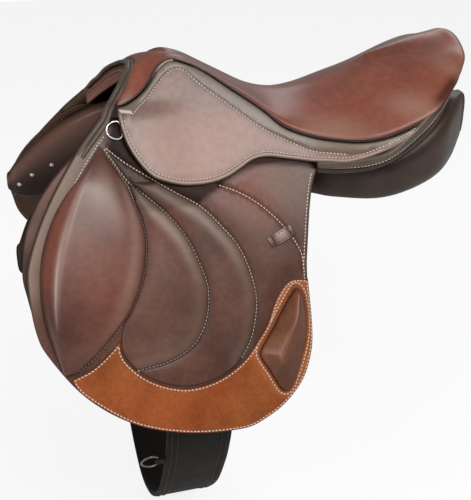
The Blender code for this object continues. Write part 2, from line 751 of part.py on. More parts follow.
def above_line(outline, flex, gap):
    """The outline without the part below a flex line, where that part lies ahead of the line's end."""
    up = flex_up(flex)
    ground = flex[1].x
    kept = []
    count = len(outline)
    for i, p in enumerate(outline):
        q = outline[(i + 1) % count]
        hp = (Vector(p) - flex[0]).dot(up) - gap
        hq = (Vector(q) - flex[0]).dot(up) - gap
        inside_p = hp >= 0 or p[0] > ground
        inside_q = hq >= 0 or q[0] > ground
        if inside_p:
            kept.append(p)
        if inside_p != inside_q:
            if (hp >= 0) != (hq >= 0) and min(p[0], q[0]) <= ground:
                t = hp / (hp - hq)
            else:
                t = (ground - p[0]) / (q[0] - p[0])
            kept.append((mix(p[0], q[0], t), mix(p[1], q[1], t)))
    return kept


def below_line(outline, flex, gap):
    """The part of the outline below a flex line and ahead of the line's end."""
    up = flex_up(flex)
    ground = flex[1].x - gap
    kept = []
    count = len(outline)
    for i, p in enumerate(outline):
        q = outline[(i + 1) % count]
        hp = (Vector(p) - flex[0]).dot(up) + gap
        hq = (Vector(q) - flex[0]).dot(up) + gap
        inside_p = hp <= 0 and p[0] <= ground
        inside_q = hq <= 0 and q[0] <= ground
        if inside_p:
            kept.append(p)
        if inside_p != inside_q:
            if (hp <= 0) != (hq <= 0) and max(p[0], q[0]) <= ground:
                t = hp / (hp - hq)
            else:
                t = (ground - p[0]) / (q[0] - p[0])
            kept.append((mix(p[0], q[0], t), mix(p[1], q[1], t)))
    return kept


def bar_window():
    """The slot in the flap's top for the stirrup bar."""
    low, high = BAR_Z - 0.016, BAR_Z + 0.014
    return BAR_X - 0.010, BAR_X + BAR_LENGTH + CATCH_LENGTH + 0.008, low, high


def flap_pieces(side):
    end = SIDE_NAME[side]
    outline = joined_outline(FLAP_EDGE, FLAP_TOP_EDGE)
    inner = layer(-FLAP_THICK)
    outer = layer(0.0)
    low_cut = [flex_cut(FLAP_FLEX, keep_low=True)]
    top = sheet("flap_top_" + end, outline, inner, outer, side, "flap_leather", SKIRT_GRID,
                [flex_cut(FLAP_FLEX, keep_low=False)])
    x0, x1, z0, z1 = bar_window()
    cut_hole(top, [(x0, z0), (x1, z0), (x1, z1), (x0, z1)], side)
    flap = sheet("flap_" + end, outline, inner, outer, side, "flap_leather", (0, GRID), low_cut)
    on_flap = layer(SEAT_GAP)
    knee = smooth_outline(KNEE_EDGE)
    pieces = [flap, pad("knee_pad_" + end, knee, on_flap, KNEE_PAD_HEIGHT, 0.052, side, "pad_leather", low_cut)]
    pieces.append(crescent("inner_crescent_" + end, KNEE_EDGE[2:8], PATCH_TOP[4:6], INNER_ARC[1:], side, low_cut))
    pieces.append(crescent("outer_crescent_" + end, INNER_ARC[1:], PATCH_TOP[7:12], OUTER_ARC[2:], side, low_cut))
    pieces.append(wear_patch(side, on_flap))
    pieces.append(calf_block(side))
    pieces.append(keeper(side))
    front, rear = flex_axis(FLAP_FLEX, outer, side)
    empty = axis_empty("flap_axis_" + end, front, rear - front)
    for piece in pieces:
        hung_on(piece, empty)


def cut_hole(piece, corners, side):
    """Cuts a straight-sided window through a sheet, looking from the side."""
    bm = bmesh.new()
    rows = [[bm.verts.new((x, side * y, z)) for x, z in corners] for y in (0.02, 0.20)]
    for i in range(4):
        j = (i + 1) % 4
        bm.faces.new((rows[0][i], rows[0][j], rows[1][j], rows[1][i]))
    bm.faces.new(rows[0])
    bm.faces.new(rows[1])
    cutter = finish(piece.name + "_window", bm, "steel", 0)
    cutter.hide_render = True
    cutter.display_type = "WIRE"
    cut = piece.modifiers.new("window", "BOOLEAN")
    cut.operation = "DIFFERENCE"
    cut.object = cutter


def inset_outline(points, inset):
    """The outline moved inwards by a small distance; points that cross over at a sharp tip are dropped."""
    area = sum(a[0] * b[1] - b[0] * a[1] for a, b in zip(points, points[1:] + points[:1]))
    turn = 1 if area > 0 else -1
    out = []
    count = len(points)
    for i, p in enumerate(points):
        a, b = points[i - 1], points[(i + 1) % count]
        d = Vector((b[0] - a[0], b[1] - a[1])).normalized()
        out.append((p[0] - turn * d.y * inset, p[1] + turn * d.x * inset))
    return [p for p in out if edge_distance(points, *p) > inset * 0.9]


def crescent(name, inside, floor, outside, side, cuts):
    """A low padded crescent between two arcs, closed below along the wear patch's top edge."""
    low = [inside[-1]] + [(x, z + 0.0030) for x, z in floor] + [outside[-1]]
    outline = joined_outline(inside, low, outside[::-1])
    outline = inset_outline(outline, 0.0010)
    return pad(name, outline, layer(SEAT_GAP), CRESCENT_HEIGHT, 0.022, side, "flap_leather", cuts, 0.0010)


def wear_patch(side, base):
    low_edge = PATCH_TOP[:1] + FLAP_EDGE[7:17]
    outline = joined_outline(PATCH_TOP[:4], PATCH_TOP[3:], low_edge[::-1])
    outline = inset_outline(outline, 0.0020)
    return sheet("wear_patch_" + SIDE_NAME[side], outline, base, layer(SEAT_GAP + PATCH_THICK), side,
                 "grain_leather", (0, 0.022))


def calf_block(side):
    """The rear block: sloping faces that meet in a ridge."""
    outline = joined_outline(CALF_EDGE, CALF_EDGE[-1:] + CALF_EDGE[:1], steps=2)
    a, b = (Vector(p) for p in CALF_RIDGE)
    base = layer(2 * SEAT_GAP + PATCH_THICK)

    def top(x, z):
        p = Vector((x, z))
        t = clamp((p - a).dot(b - a) / (b - a).length_squared)
        away = (p - a - (b - a) * t).length
        to_edge = edge_distance(outline, x, z)
        share = clamp(to_edge / (to_edge + away + 1e-6))
        return base(x, z) + 0.002 + (CALF_BLOCK_HEIGHT - 0.002) * share
    return sheet("calf_block_" + SIDE_NAME[side], outline, base, top, side, "pad_leather", (0.012, 0.012))


def keeper(side):
    """The leather loop that holds the stirrup leather's end: a low bridge on the flap."""
    frame = side_frame(FLAP_FRONT + FLAP_WIDTH * 0.845, FLAP_TOP - FLAP_LENGTH * 0.411, SEAT_GAP * 0.9, side)
    turn = Matrix.Rotation(math.radians(24) * (1 if side == LEFT else 1), 4, "Z")
    frame = frame @ turn
    half, foot, wide, thick = 0.0125, 0.0060, 0.0140, 0.0022
    arch = []
    for k in range(9):
        angle = math.pi * k / 8
        arch.append((-(half - 0.002) * math.cos(angle), thick / 2 + (KEEPER_HEIGHT - thick) * math.sin(angle) ** 0.7))
    line = [(-half - foot, thick / 2)] + arch + [(half + foot, thick / 2)]
    path = [frame @ Vector((a, 0, w)) for a, w in line]
    across = (frame.to_3x3() @ Vector((0, 1, 0))).normalized()
    rings = []
    for i, p in enumerate(path):
        before = path[max(0, i - 1)]
        after = path[min(len(path) - 1, i + 1)]
        up = across.cross(after - before).normalized()
        rings.append([p + across * sa * wide / 2 + up * sb * thick / 2 for sa, sb in ((-1, -1), (1, -1), (1, 1), (-1, 1))])
    return loft("keeper_" + SIDE_NAME[side], rings, "pad_leather")


def sweat_flap(side):
    outline = smooth_outline(SWEAT_EDGE, 2)
    sheet("sweat_flap_" + SIDE_NAME[side], outline, sweat_inner, sweat_outer, side, "panel_leather", (0, 0.018))


PANEL_FRONT = [
    (-1.0, -0.066, 0.010, -0.098, 0.012), (3.0, -0.042, 0.020, -0.108, 0.022), (11.0, -0.010, 0.026, -0.112, 0.028),
    (21.0, 0.019, 0.028, -0.108, 0.030), (32.0, 0.040, 0.028, -0.100, 0.030), (42.0, 0.046, 0.028, -0.090, 0.030),
    (57.0, 0.044, 0.026, -0.078, 0.030), (72.0, 0.028, 0.024, -0.064, 0.032)]
PANEL_REAR = [
    (46.0, 0.034, 0.010, 0.083, 0.006, 0.110, -0.060, 0.046, -0.014),
    (56.0, 0.034, 0.008, 0.112, -0.012, 0.117, -0.067, 0.048, -0.020),
    (68.0, 0.034, 0.012, 0.128, -0.012, 0.122, -0.074, 0.050, -0.026),
    (78.0, 0.034, 0.022, 0.126, 0.000, 0.118, -0.070, 0.050, -0.026),
    (88.0, 0.032, 0.034, 0.112, 0.026, 0.104, -0.058, 0.046, -0.022),
    (96.0, 0.030, 0.048, 0.086, 0.050, 0.082, -0.040, 0.040, -0.014),
    (102.5, 0.028, 0.050, 0.060, 0.052, 0.058, -0.016, 0.032, 0.000)]


def rounded_quad(corners, outer, count=16, power=5.0):
    """Points of a soft-cornered section inside four corners: inner top, outer top, outer low, inner low."""
    ring = []
    for k in range(count):
        angle = 2 * math.pi * (k + 0.5) / count
        c, s = math.cos(angle), math.sin(angle)
        size = (abs(c) ** power + abs(s) ** power) ** (-1 / power)
        a, b = 0.5 + 0.5 * size * c, 0.5 - 0.5 * size * s
        inner_y, inner_z = mix(corners[0][0], corners[3][0], b), mix(corners[0][1], corners[3][1], b)
        outer_y, outer_z = mix(corners[1][0], corners[2][0], b), mix(corners[1][1], corners[2][1], b)
        if outer:
            outer_y = outer(outer_z)
        ring.append((mix(inner_y, outer_y, a), mix(inner_z, outer_z, a)))
    return ring


def panel(side):
    """The flocked cushion, from its front under the knee to its upswept back."""
    rings = []
    for u, top, top_thick, low, low_thick in PANEL_FRONT:
        x = FLAP_FRONT + FLAP_WIDTH * u / 100

        def outer(z, x=x):
            return sweat_inner(x, z) - PANEL_GAP
        corners = [(outer(top) - top_thick, top - 0.012), (outer(top), top), (outer(low), low),
                   (outer(low) - low_thick, low - 0.004)]
        rings.append([(x, side * y, z) for y, z in rounded_quad(corners, outer)])
    for a, y0, z0, y1, z1, y2, z2, y3, z3 in PANEL_REAR:
        x = seat_x(a)
        corners = [(y0, z0), (y1, z1), (y2, z2), (y3, z3)]
        rings.append([(x, side * y, z) for y, z in rounded_quad(corners, None)])
    columns = [catmull(column, 2) for column in zip(*rings)]
    rings = [list(ring) for ring in zip(*columns)]
    loft("panel_" + SIDE_NAME[side], rings, "panel_leather", smooth_angle=60)


# Hardware

def stirrup_bar(side):
    """The forged bar on its plate, open at the back, and the catch that closes it."""
    end = SIDE_NAME[side]
    slot_floor, slot_top = BAR_PLATE, BAR_PLATE + BAR_SLOT
    deep = slot_top + BAR_THICK
    frame = side_frame(BAR_X, BAR_Z, SEAT_GAP - (FLAP_THICK + ROOM_TOP) * slope_share(BAR_X, BAR_Z), side)
    heel, neck, shoulder = -0.012, 0.004, -0.004
    wide = BAR_HEIGHT / 2
    profile = [((BAR_LENGTH * 0.92, 0), (BAR_LENGTH * 0.92, slot_floor), wide + 0.0008),
               ((heel, 0), (neck, slot_floor), wide + 0.0012),
               ((heel, slot_top), (neck, mix(slot_floor, slot_top, 0.6)), wide + 0.0004),
               ((shoulder, deep), (neck, slot_top), wide),
               ((BAR_LENGTH, deep), (BAR_LENGTH, slot_top), wide - 0.0005)]
    rings = []
    for (a, w), (b, h), half in profile:
        rings.append([frame @ Vector(p) for p in ((a, -half, w), (a, half, w), (b, half, h), (b, -half, h))])
    loft("stirrup_bar_" + end, rings, "steel", smooth_angle=0)
    radius = CATCH_RADIUS
    middle = BAR_LENGTH + radius + CATCH_CLEAR
    pivot = frame @ Vector((middle, 0, 0))
    tip = BAR_LENGTH + CATCH_LENGTH
    corners = [(tip, radius * 0.6)]
    for k in range(7):
        angle = math.radians(90 + 30 * k)
        corners.append((middle + radius * math.cos(angle), radius * math.sin(angle)))
    corners.append((tip, -radius * 0.6))
    catch = plate("stirrup_catch_" + end, frame, corners, slot_top + 0.0006, deep - 0.0006, "steel")
    axis = (frame.to_3x3() @ Vector((0, 0, 1))).normalized()
    hung_on(catch, axis_empty("catch_axis_" + end, pivot, axis))


def front_dee(side):
    """The dee under the skirt's front edge, in its leather loop."""
    end = SIDE_NAME[side]
    radius = DEE_WIRE / 2 + LOOP_GAP
    frame = side_frame(seat_x(0.6), 0.0400, radius + LOOP_THICK + SEAT_GAP, side)
    path = dee_path(frame, DEE_WIDTH, DEE_REACH)
    out = frame.to_3x3() @ Vector((0, 0, 1))
    dee = sweep("front_dee_" + end, path, round_section(DEE_WIRE, DEE_WIRE, 6), out, "steel", closed=True)
    bar = frame.to_3x3() @ Vector((0, 1, 0))
    hung_on(dee, axis_empty("dee_axis_" + end, frame.translation, bar))
    dee_loop("dee_loop_" + end, frame, DEE_WIDTH * 0.42, radius, 0.0120, "flap_leather")


def dee_loop(name, frame, wide, radius, tail, look_name):
    """A leather loop round a dee's straight bar, its tail going back along +first axis."""
    thick = LOOP_THICK
    outer = []
    for k in range(9):
        angle = math.radians(mix(90, 270, k / 8))
        outer.append(((radius + thick) * math.cos(angle), (radius + thick) * math.sin(angle)))
    profile = outer + [(tail, -radius - thick), (tail, radius + thick)]
    hole = [(radius * math.cos(math.radians(a)), radius * math.sin(math.radians(a))) for a in range(0, 360, 40)]
    bm = bmesh.new()
    rows = []
    for v in (-wide / 2, wide / 2):
        rows.append(([bm.verts.new(frame @ Vector((a, v, w))) for a, w in profile],
                     [bm.verts.new(frame @ Vector((a, v, w))) for a, w in hole]))
    for lines in (0, 1):
        low, high = rows[0][lines], rows[1][lines]
        for i in range(len(low)):
            j = (i + 1) % len(low)
            bm.faces.new((low[i], low[j], high[j], high[i]))
    for outside, inside in rows:
        edges = []
        for line in (outside, inside):
            for a, b in zip(line, line[1:] + line[:1]):
                edges.append(bm.edges.get((a, b)))
        bmesh.ops.triangle_fill(bm, use_beauty=True, edges=edges)
    bmesh.ops.triangulate(bm, faces=bm.faces[:])
    return finish(name, bm, look_name, 0)


# Girth

def girth_share():
    """Thickness square to the slope for each unit across, where the girth lies under the flap."""
    return slope_share(GIRTH_X, (GIRTH_TOP_Z + STRAP_LOW_Z) / 2)


def girth_mid(z):
    """Half width of the girth's middle surface where it lies under the flap."""
    return half_width(GIRTH_X, z) - FLAP_THICK - ROOM_LOW + GIRTH_GAP + GIRTH_THICK / 2 / girth_share()


def girth_path():
    under = [(girth_mid(z), z) for z in (GIRTH_TOP_Z, -0.140, -0.180, -0.215, -0.245)]
    free = [(0.2330, -0.282), (0.2210, -0.322), (0.1960, -0.372), (0.1520, -0.436), (0.0820, -0.496)]
    low = (0.0, -GIRTH_DROP)
    half = [Vector((GIRTH_X, -y, z)) for y, z in under + free + [low]]
    mirrored = [Vector((p.x, -p.y, p.z)) for p in reversed(half[:-1])]
    return catmull(half + mirrored, 3)


def girth():
    path = girth_path()

    body = sweep("girth", path, box_section(GIRTH_WIDTH, GIRTH_THICK), out_of_path(path), "black_web", smooth_angle=60)
    moving = [body]
    for side in (LEFT, RIGHT):
        for name, shift in (("front", -0.5), ("rear", 0.5)):
            label = name + "_" + SIDE_NAME[side]
            x = GIRTH_X + shift * STRAP_SPACING
            moving.append(girth_strap("girth_strap_" + label, x, side))
            moving.append(buckle("girth_buckle_" + label, x, side))
    dee, chape, pivot, axis = girth_dee(path)
    moving.append(chape)
    swing = axis_empty("girth_axis", Vector((GIRTH_X, 0, STRAP_TOP_Z - 0.010)), Vector((0, 1, 0)))
    dee_axis = axis_empty("girth_dee_axis", pivot, axis)
    hung_on(dee, dee_axis)
    for piece in moving:
        hung_on(piece, swing)
    hung_on(dee_axis, swing)


def out_of_path(path):
    """The outward direction at each point of the girth's loop: across its length, in the YZ plane."""
    table = []
    count = len(path)
    for i, p in enumerate(path):
        t = (path[min(i + 1, count - 1)] - path[max(i - 1, 0)]).normalized()
        table.append((p, Vector((0, t.z, -t.y))))

    def out(point):
        return min(table, key=lambda row: (row[0] - point).length_squared)[1]
    return out


def strap_inner(x, z):
    """The girth straps' inner face: on the girth, and off the sweat flap above it."""
    return half_width(x, z) - FLAP_THICK - ROOM_LOW + GIRTH_GAP + GIRTH_THICK / girth_share() + 0.0005


def girth_strap(name, x, side):
    half = STRAP_WIDTH / 2
    tip = 0.010
    outline = [(x - half, STRAP_TOP_Z), (x - half, STRAP_LOW_Z + tip), (x - half * 0.5, STRAP_LOW_Z),
               (x + half * 0.5, STRAP_LOW_Z), (x + half, STRAP_LOW_Z + tip), (x + half, STRAP_TOP_Z)]
    return sheet(name, outline, strap_inner, lambda a, z: strap_inner(a, z) + STRAP_THICK, side, "panel_leather",
                 (0, 0.020))


def buckle(name, x, side):
    """A roller buckle: its bottom bar behind the strap and its top bar over it."""
    share = slope_share(x, BUCKLE_Z)
    middle = strap_inner(x, BUCKLE_Z) + STRAP_THICK / 2 - half_width(x, BUCKLE_Z)
    frame = side_frame(x, BUCKLE_Z, middle * share, side)
    wide = STRAP_WIDTH / 2 + 0.0016 + BUCKLE_WIRE / 2
    back = -STRAP_THICK / 2 - 0.0005 - BUCKLE_WIRE / 2
    front = STRAP_THICK / 2 + 0.0005 + BUCKLE_WIRE / 2
    corners = [(-wide, -0.009, back), (-wide, -0.003, back * 0.6), (-wide, 0.004, front * 0.6), (-wide, 0.0095, front),
               (-wide * 0.5, 0.0125, front), (0, 0.0125, front), (wide * 0.5, 0.0125, front), (wide, 0.0095, front),
               (wide, 0.004, front * 0.6), (wide, -0.003, back * 0.6), (wide, -0.009, back), (wide * 0.4, -0.0095, back),
               (-wide * 0.4, -0.0095, back)]
    path = [frame @ Vector(c) for c in corners]
    out = frame.to_3x3() @ Vector((0, 0, 1))
    return sweep(name, path, round_section(BUCKLE_WIRE, BUCKLE_WIRE, 6), out, "steel", closed=True)


def girth_dee(path):
    """The dee on the front edge of the girth, just below the near flap, with its chape."""
    point = min((p for p in path if p.y < 0), key=lambda p: abs(p.z + 0.335))
    index = path.index(point)
    along = (path[index + 1] - path[index - 1]).normalized()
    out = Vector((0, along.z, -along.y))
    out = out if out.y < 0 else -out
    frame = Matrix((Vector((1, 0, 0)), along, out)).transposed().to_4x4()
    frame.translation = point + Vector((-GIRTH_WIDTH / 2 - 0.0090, 0, 0))
    radius = DEE_WIRE / 2 + LOOP_GAP
    wire = sweep("girth_dee", dee_path(frame, GIRTH_DEE_WIDTH, GIRTH_DEE_REACH), round_section(DEE_WIRE, DEE_WIRE, 6),
                 out, "steel", closed=True)
    chape = dee_loop("girth_dee_chape", frame, GIRTH_DEE_WIDTH * 0.42, radius, 0.0087, "black_web")
    return wire, chape, frame.translation, along


def clear_scene():
    for piece in list(bpy.data.objects):
        bpy.data.objects.remove(piece)


def main():
    clear_scene()
    seat_stack()
    head_arch()
    pommel_facing()
    cantle_facing()
    for side in (LEFT, RIGHT):
        skirts(side)
        flap_pieces(side)
        sweat_flap(side)
        panel(side)
        stirrup_bar(side)
        front_dee(side)
    girth()


if __name__ == "__main__":
    main()
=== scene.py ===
import math
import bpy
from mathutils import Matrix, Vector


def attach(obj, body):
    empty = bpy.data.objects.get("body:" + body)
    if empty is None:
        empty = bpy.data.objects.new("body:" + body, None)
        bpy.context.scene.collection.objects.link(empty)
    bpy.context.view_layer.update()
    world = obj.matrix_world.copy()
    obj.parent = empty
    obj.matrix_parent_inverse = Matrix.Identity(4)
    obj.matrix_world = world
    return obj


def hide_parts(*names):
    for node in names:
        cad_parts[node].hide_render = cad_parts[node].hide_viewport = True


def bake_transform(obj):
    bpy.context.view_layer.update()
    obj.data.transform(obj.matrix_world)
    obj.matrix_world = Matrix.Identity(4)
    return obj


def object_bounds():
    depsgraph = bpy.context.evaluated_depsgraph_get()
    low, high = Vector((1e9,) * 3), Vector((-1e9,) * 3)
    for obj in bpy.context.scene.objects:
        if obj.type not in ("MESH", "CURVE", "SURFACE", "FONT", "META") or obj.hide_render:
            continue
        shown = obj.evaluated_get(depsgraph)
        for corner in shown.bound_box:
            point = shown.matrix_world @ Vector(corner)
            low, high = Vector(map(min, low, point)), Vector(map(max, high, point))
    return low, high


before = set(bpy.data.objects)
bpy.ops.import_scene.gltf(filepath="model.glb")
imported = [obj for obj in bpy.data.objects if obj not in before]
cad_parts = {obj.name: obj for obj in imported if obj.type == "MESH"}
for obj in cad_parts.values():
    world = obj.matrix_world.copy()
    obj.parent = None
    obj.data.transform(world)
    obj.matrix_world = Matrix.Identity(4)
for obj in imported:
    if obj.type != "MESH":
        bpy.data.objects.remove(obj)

from types import SimpleNamespace

import bmesh
import bpy
import numpy as np
from mathutils import Matrix, Vector
from mathutils.geometry import delaunay_2d_cdt

CAD_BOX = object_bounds()

bl_info = {
    "name": "All-purpose saddle",
    "version": (1, 0, 0),
    "blender": (4, 5, 0),
    "location": "3D View > Sidebar > Saddle",
    "description": "Leather, padding, thread and fittings of an all-purpose saddle, built round its solids",
    "category": "Object",
}

# Places are metres: -X is the pommel, -Y the near side, Z up. Values that the solids share have their names.
SEAT_FRONT = -0.228
SEAT_LENGTH = 0.464
SEAT_LOW = 0.0565
POMMEL_RISE = 0.0555
POMMEL_TOP = SEAT_LOW + POMMEL_RISE
CANTLE_HALF_WIDTH = 0.150
CANTLE_DEPTH = 0.146
CANTLE_CENTRE = SEAT_FRONT + SEAT_LENGTH - CANTLE_DEPTH
CANTLE_TOP = 0.0905
FLAP_FRONT = -0.352
FLAP_WIDTH = 0.352
FLAP_TOP = 0.056
FLAP_LENGTH = 0.333
FLAP_THICK = 0.0040
SKIRT_THICK = 0.0040
SWEAT_THICK = 0.0035
PATCH_THICK = 0.0025
STRAP_THICK = 0.0035
SEAT_GAP = 0.0004
GLUE_GAP = SEAT_GAP * 0.4
STITCH_INSET = 0.0045
EDGE_RADIUS = 0.0024
SHEET_STEP = 0.0042
PANEL_GAP = 0.0008
ROOM_TOP = 0.0130
ROOM_LOW = 0.0187
SIDE_TOP = 0.120
SIDE_HALF = 0.022
SIDE_SPREAD = 0.83
SIDE_CURVE = 0.58
REAR_WIDENING = 0.045
GIRTH_X = -0.174
GIRTH_WIDTH = 0.080
GIRTH_THICK = 0.0070
GIRTH_GAP = 0.0015
LEFT, RIGHT = -1, 1
SIDE_NAME = {LEFT: "left", RIGHT: "right"}


def seat_x(percent):
    """A place along the seat, in percent of its length."""
    return SEAT_FRONT + SEAT_LENGTH * percent / 100


def seat_points(pairs):
    return np.array([(seat_x(a), z) for a, z in pairs])


def flap_points(pairs):
    """Places in the flap's box: percent across from its front edge and percent down from its top."""
    return np.array([(FLAP_FRONT + FLAP_WIDTH * u / 100, FLAP_TOP - FLAP_LENGTH * v / 100) for u, v in pairs])


# Cutting lines seen from the side: percent of the seat's length with a height, or percent of the flap's box
SEAM = seat_points([
    (0.1, 0.0642), (3.1, 0.0671), (6.7, 0.0758), (9.7, 0.0878), (12.4, 0.1010), (15.6, 0.1075),
    (19.2, 0.1037), (23.7, 0.0943), (30.6, 0.0728), (37.5, 0.0510), (42.8, 0.0310), (49.9, 0.0195),
    (56.9, 0.0158), (62.2, 0.0162), (67.8, 0.0212), (74.2, 0.0300), (81.5, 0.0431)])
SKIRT_LOW = seat_points([
    (77.7, 0.0301), (73.8, 0.0206), (65.3, 0.0054), (57.8, -0.0050), (52.9, -0.0056), (48.7, -0.0052),
    (43.1, -0.0016), (37.3, 0.0027), (33.2, 0.0010), (29.4, -0.0066), (25.5, -0.0142), (20.5, -0.0186),
    (15.0, -0.0178), (10.7, -0.0131), (6.2, -0.0040), (3.0, 0.0130), (0.9, 0.0322), (-0.2, 0.0573)])
SKIRT_FLEX = ((seat_x(-0.1), 0.0500), (seat_x(33.4), 0.0035))
FLAP_FLEX = ((FLAP_FRONT + FLAP_WIDTH * 0.148, 0.0083), (FLAP_FRONT + FLAP_WIDTH * 0.966, -0.0490))
# Each fold: its moving part, its line, how far the bend reaches and how high over the flap it lies
SKIRT_FOLD = ("skirt_", SKIRT_FLEX, 0.012, 0.012)
FLAP_FOLD = ("flap_", FLAP_FLEX, 0.014, 0.0)
FLAP_EDGE = flap_points([
    (29.5, 0.3), (19.9, 10.5), (8.5, 25.8), (1.4, 39.9), (0.0, 49.2), (0.9, 61.0), (4.0, 68.8),
    (13.9, 82.3), (28.1, 92.8), (45.5, 98.5), (63.4, 100.0), (72.2, 97.6), (79.5, 93.4), (85.8, 87.1),
    (89.5, 79.6), (91.2, 71.5), (92.0, 54.4), (93.7, 44.4), (96.0, 34.5), (98.3, 26.7), (100.8, 21.0)])
FLAP_TOP_EDGE = flap_points([
    (97.2, 16.8), (88.6, 9.0), (74.4, -0.6), (63.1, -6.6), (53.1, -7.8), (44.6, -1.8), (36.1, 1.2)])
KNEE_FRONT = flap_points([
    (27.8, 8.7), (24.4, 12.6), (20.2, 17.4), (15.3, 21.9), (10.5, 27.9), (6.5, 35.4), (4.3, 42.6),
    (3.4, 50.5), (3.7, 58.6), (5.4, 66.4), (8.0, 74.5)])
KNEE_REAR = flap_points([
    (27.8, 8.7), (34.1, 19.2), (36.6, 25.8), (38.6, 33.3), (38.4, 41.1), (36.1, 48.9), (32.4, 55.9),
    (28.1, 61.3), (20.2, 68.5), (12.8, 73.6), (8.0, 74.5)])
INNER_ARC = flap_points([
    (29.2, 9.6), (35.5, 19.8), (41.5, 25.2), (47.2, 30.9), (52.0, 37.5), (55.1, 45.0), (57.1, 53.2),
    (56.3, 60.4), (53.7, 66.7), (49.1, 71.5), (41.5, 74.8), (30.7, 76.3)])
OUTER_ARC = flap_points([
    (29.8, 9.4), (35.2, 14.1), (44.0, 20.1), (50.9, 24.6), (58.5, 29.4), (65.1, 36.6), (69.6, 43.2),
    (72.2, 51.1), (73.0, 59.2), (71.3, 67.0), (68.8, 72.7), (65.3, 77.2)])
KEEPER_ARC = np.array([
    (-0.121, -0.022), (-0.097, -0.032), (-0.076, -0.045), (-0.055, -0.064), (-0.041, -0.082),
    (-0.032, -0.101), (-0.032, -0.118)])
PATCH_TOP = flap_points([
    (9.4, 76.0), (17.0, 73.2), (24.0, 68.2), (28.6, 63.4), (26.6, 67.3), (27.0, 71.5), (30.2, 75.8),
    (34.4, 79.3), (39.8, 82.1), (46.6, 83.8), (54.3, 83.2), (61.1, 80.8), (67.1, 76.9), (71.3, 72.4),
    (75.3, 67.6), (78.4, 61.9), (82.1, 57.1), (85.8, 54.7), (91.2, 55.0)])
CALF_LINE = flap_points([
    (84.9, 58.6), (86.6, 57.2), (88.4, 58.4), (89.0, 62.5), (88.9, 67.5), (87.8, 74.0), (84.6, 81.8),
    (81.2, 88.2), (79.2, 89.4), (77.4, 88.2), (74.6, 82.8), (71.9, 77.8), (71.6, 75.8), (73.0, 73.4),
    (77.0, 68.6), (81.2, 63.0)])
CALF_RIDGE = flap_points([(86.6, 59.2), (84.6, 66.0), (81.6, 71.0), (78.6, 76.0), (77.6, 79.0)])
SWEAT_EDGE = flap_points([
    (27.0, 7.0), (18.0, 13.5), (10.8, 20.0), (4.6, 28.0), (0.6, 36.5), (-1.2, 46.0), (-0.6, 52.5),
    (1.5, 62.0), (7.0, 71.0), (17.0, 79.5), (31.0, 85.0), (52.0, 87.5), (69.0, 86.5), (83.0, 78.0),
    (88.0, 62.0), (91.0, 44.0), (94.0, 27.0), (88.0, 15.0), (74.0, 9.0), (57.0, 8.0), (41.0, 8.0)])
# The skirt's shade on the flap lies above this line and behind a slanted one: place, height and slant
SHADED_LINE = np.array([
    (-0.262, -0.018), (-0.240, -0.034), (-0.2183, -0.0404), (-0.1905, -0.0429), (-0.173, -0.0425),
    (-0.1504, -0.0399), (-0.1383, -0.0344), (-0.1186, -0.0248), (-0.096, -0.0134), (-0.074, -0.0076),
    (-0.039, -0.0074), (0.0007, -0.0132)])
DARK_FRONT = (-0.2408, 0.0360, 0.17)
# The slot in the flap's top that the stirrup bar stands through: from and to along, from and to in height
BAR_WINDOW = (-0.172, -0.068, 0.006, 0.036)


# Curves and side surface

def clip(value, low=0.0, high=1.0):
    return np.clip(value, low, high)


def smooth_step(value):
    value = clip(value)
    return value * value * (3 - 2 * value)


def bump(distance, centre, half):
    """A soft rounded hump over a distance."""
    return np.sqrt(clip(1 - ((distance - centre) / half) ** 2))


def hill(value, centre, half):
    """A bell: 1 at its centre and near 0 two halves away."""
    return np.exp(-((value - centre) / half) ** 2)


def beyond(signed, width):
    """0 on a line's right side, 1 on its left, soft over twice the width."""
    return smooth_step(signed / width * 0.5 + 0.5)


def rounding(distance, radius, drop):
    """How far a rounded edge falls: the whole drop at the edge, nothing past the radius."""
    return drop * (1 - np.sqrt(1 - (1 - clip(distance / radius)) ** 2))


def unit(vectors):
    return vectors / np.maximum(np.linalg.norm(vectors, axis=-1), 1e-9)[..., None]


def catmull(points, steps, closed=False):
    """Points on a smooth curve through the given ones."""
    p = np.asarray(points, float)
    if closed:
        rows = [np.roll(p, k, axis=0) for k in (1, 0, -1, -2)]
    else:
        ends = np.vstack([2 * p[0] - p[1], p, 2 * p[-1] - p[-2]])
        rows = [ends[k:len(ends) - 3 + k] for k in range(4)]
    a, b, c, d = (row[:, None] for row in rows)
    t = (np.arange(steps) / steps)[None, :, None]
    line = 0.5 * (2 * b + (c - a) * t + (2 * a - 5 * b + 4 * c - d) * t ** 2
                  + (3 * b - a - 3 * c + d) * t ** 3)
    line = line.reshape(-1, p.shape[1])
    return line if closed else np.vstack([line, p[-1]])


def run_of(line):
    """How far along a line each of its points lies."""
    return np.concatenate([[0.0], np.cumsum(np.linalg.norm(np.diff(line, axis=0), axis=1))])


def spaced(line, gap=0.0025, closed=False, count=None):
    """The same line with evenly spaced points."""
    line = np.asarray(line, float)
    if closed:
        line = np.vstack([line, line[:1]])
    run = run_of(line)
    count = count or max(2, int(round(run[-1] / gap)) + 1)
    at = np.linspace(0, run[-1], count)
    out = np.stack([np.interp(at, run, line[:, k]) for k in range(line.shape[1])], 1)
    return out[:-1] if closed else out


def curve(points, gap=0.0025, count=None):
    return spaced(catmull(points, 12), gap, count=count)


def joined(*runs):
    """A closed outline from runs that are smooth each and meet at corners."""
    out = []
    for run in runs:
        for p in curve(run):
            if not out or np.linalg.norm(p - out[-1]) > 0.0007:
                out.append(p)
    if np.linalg.norm(out[0] - out[-1]) < 0.0007:
        out.pop()
    return np.array(out)


def counter_clockwise(outline):
    after = np.roll(outline, -1, axis=0)
    area = (outline[:, 0] * after[:, 1] - after[:, 0] * outline[:, 1]).sum()
    return outline if area > 0 else outline[::-1]


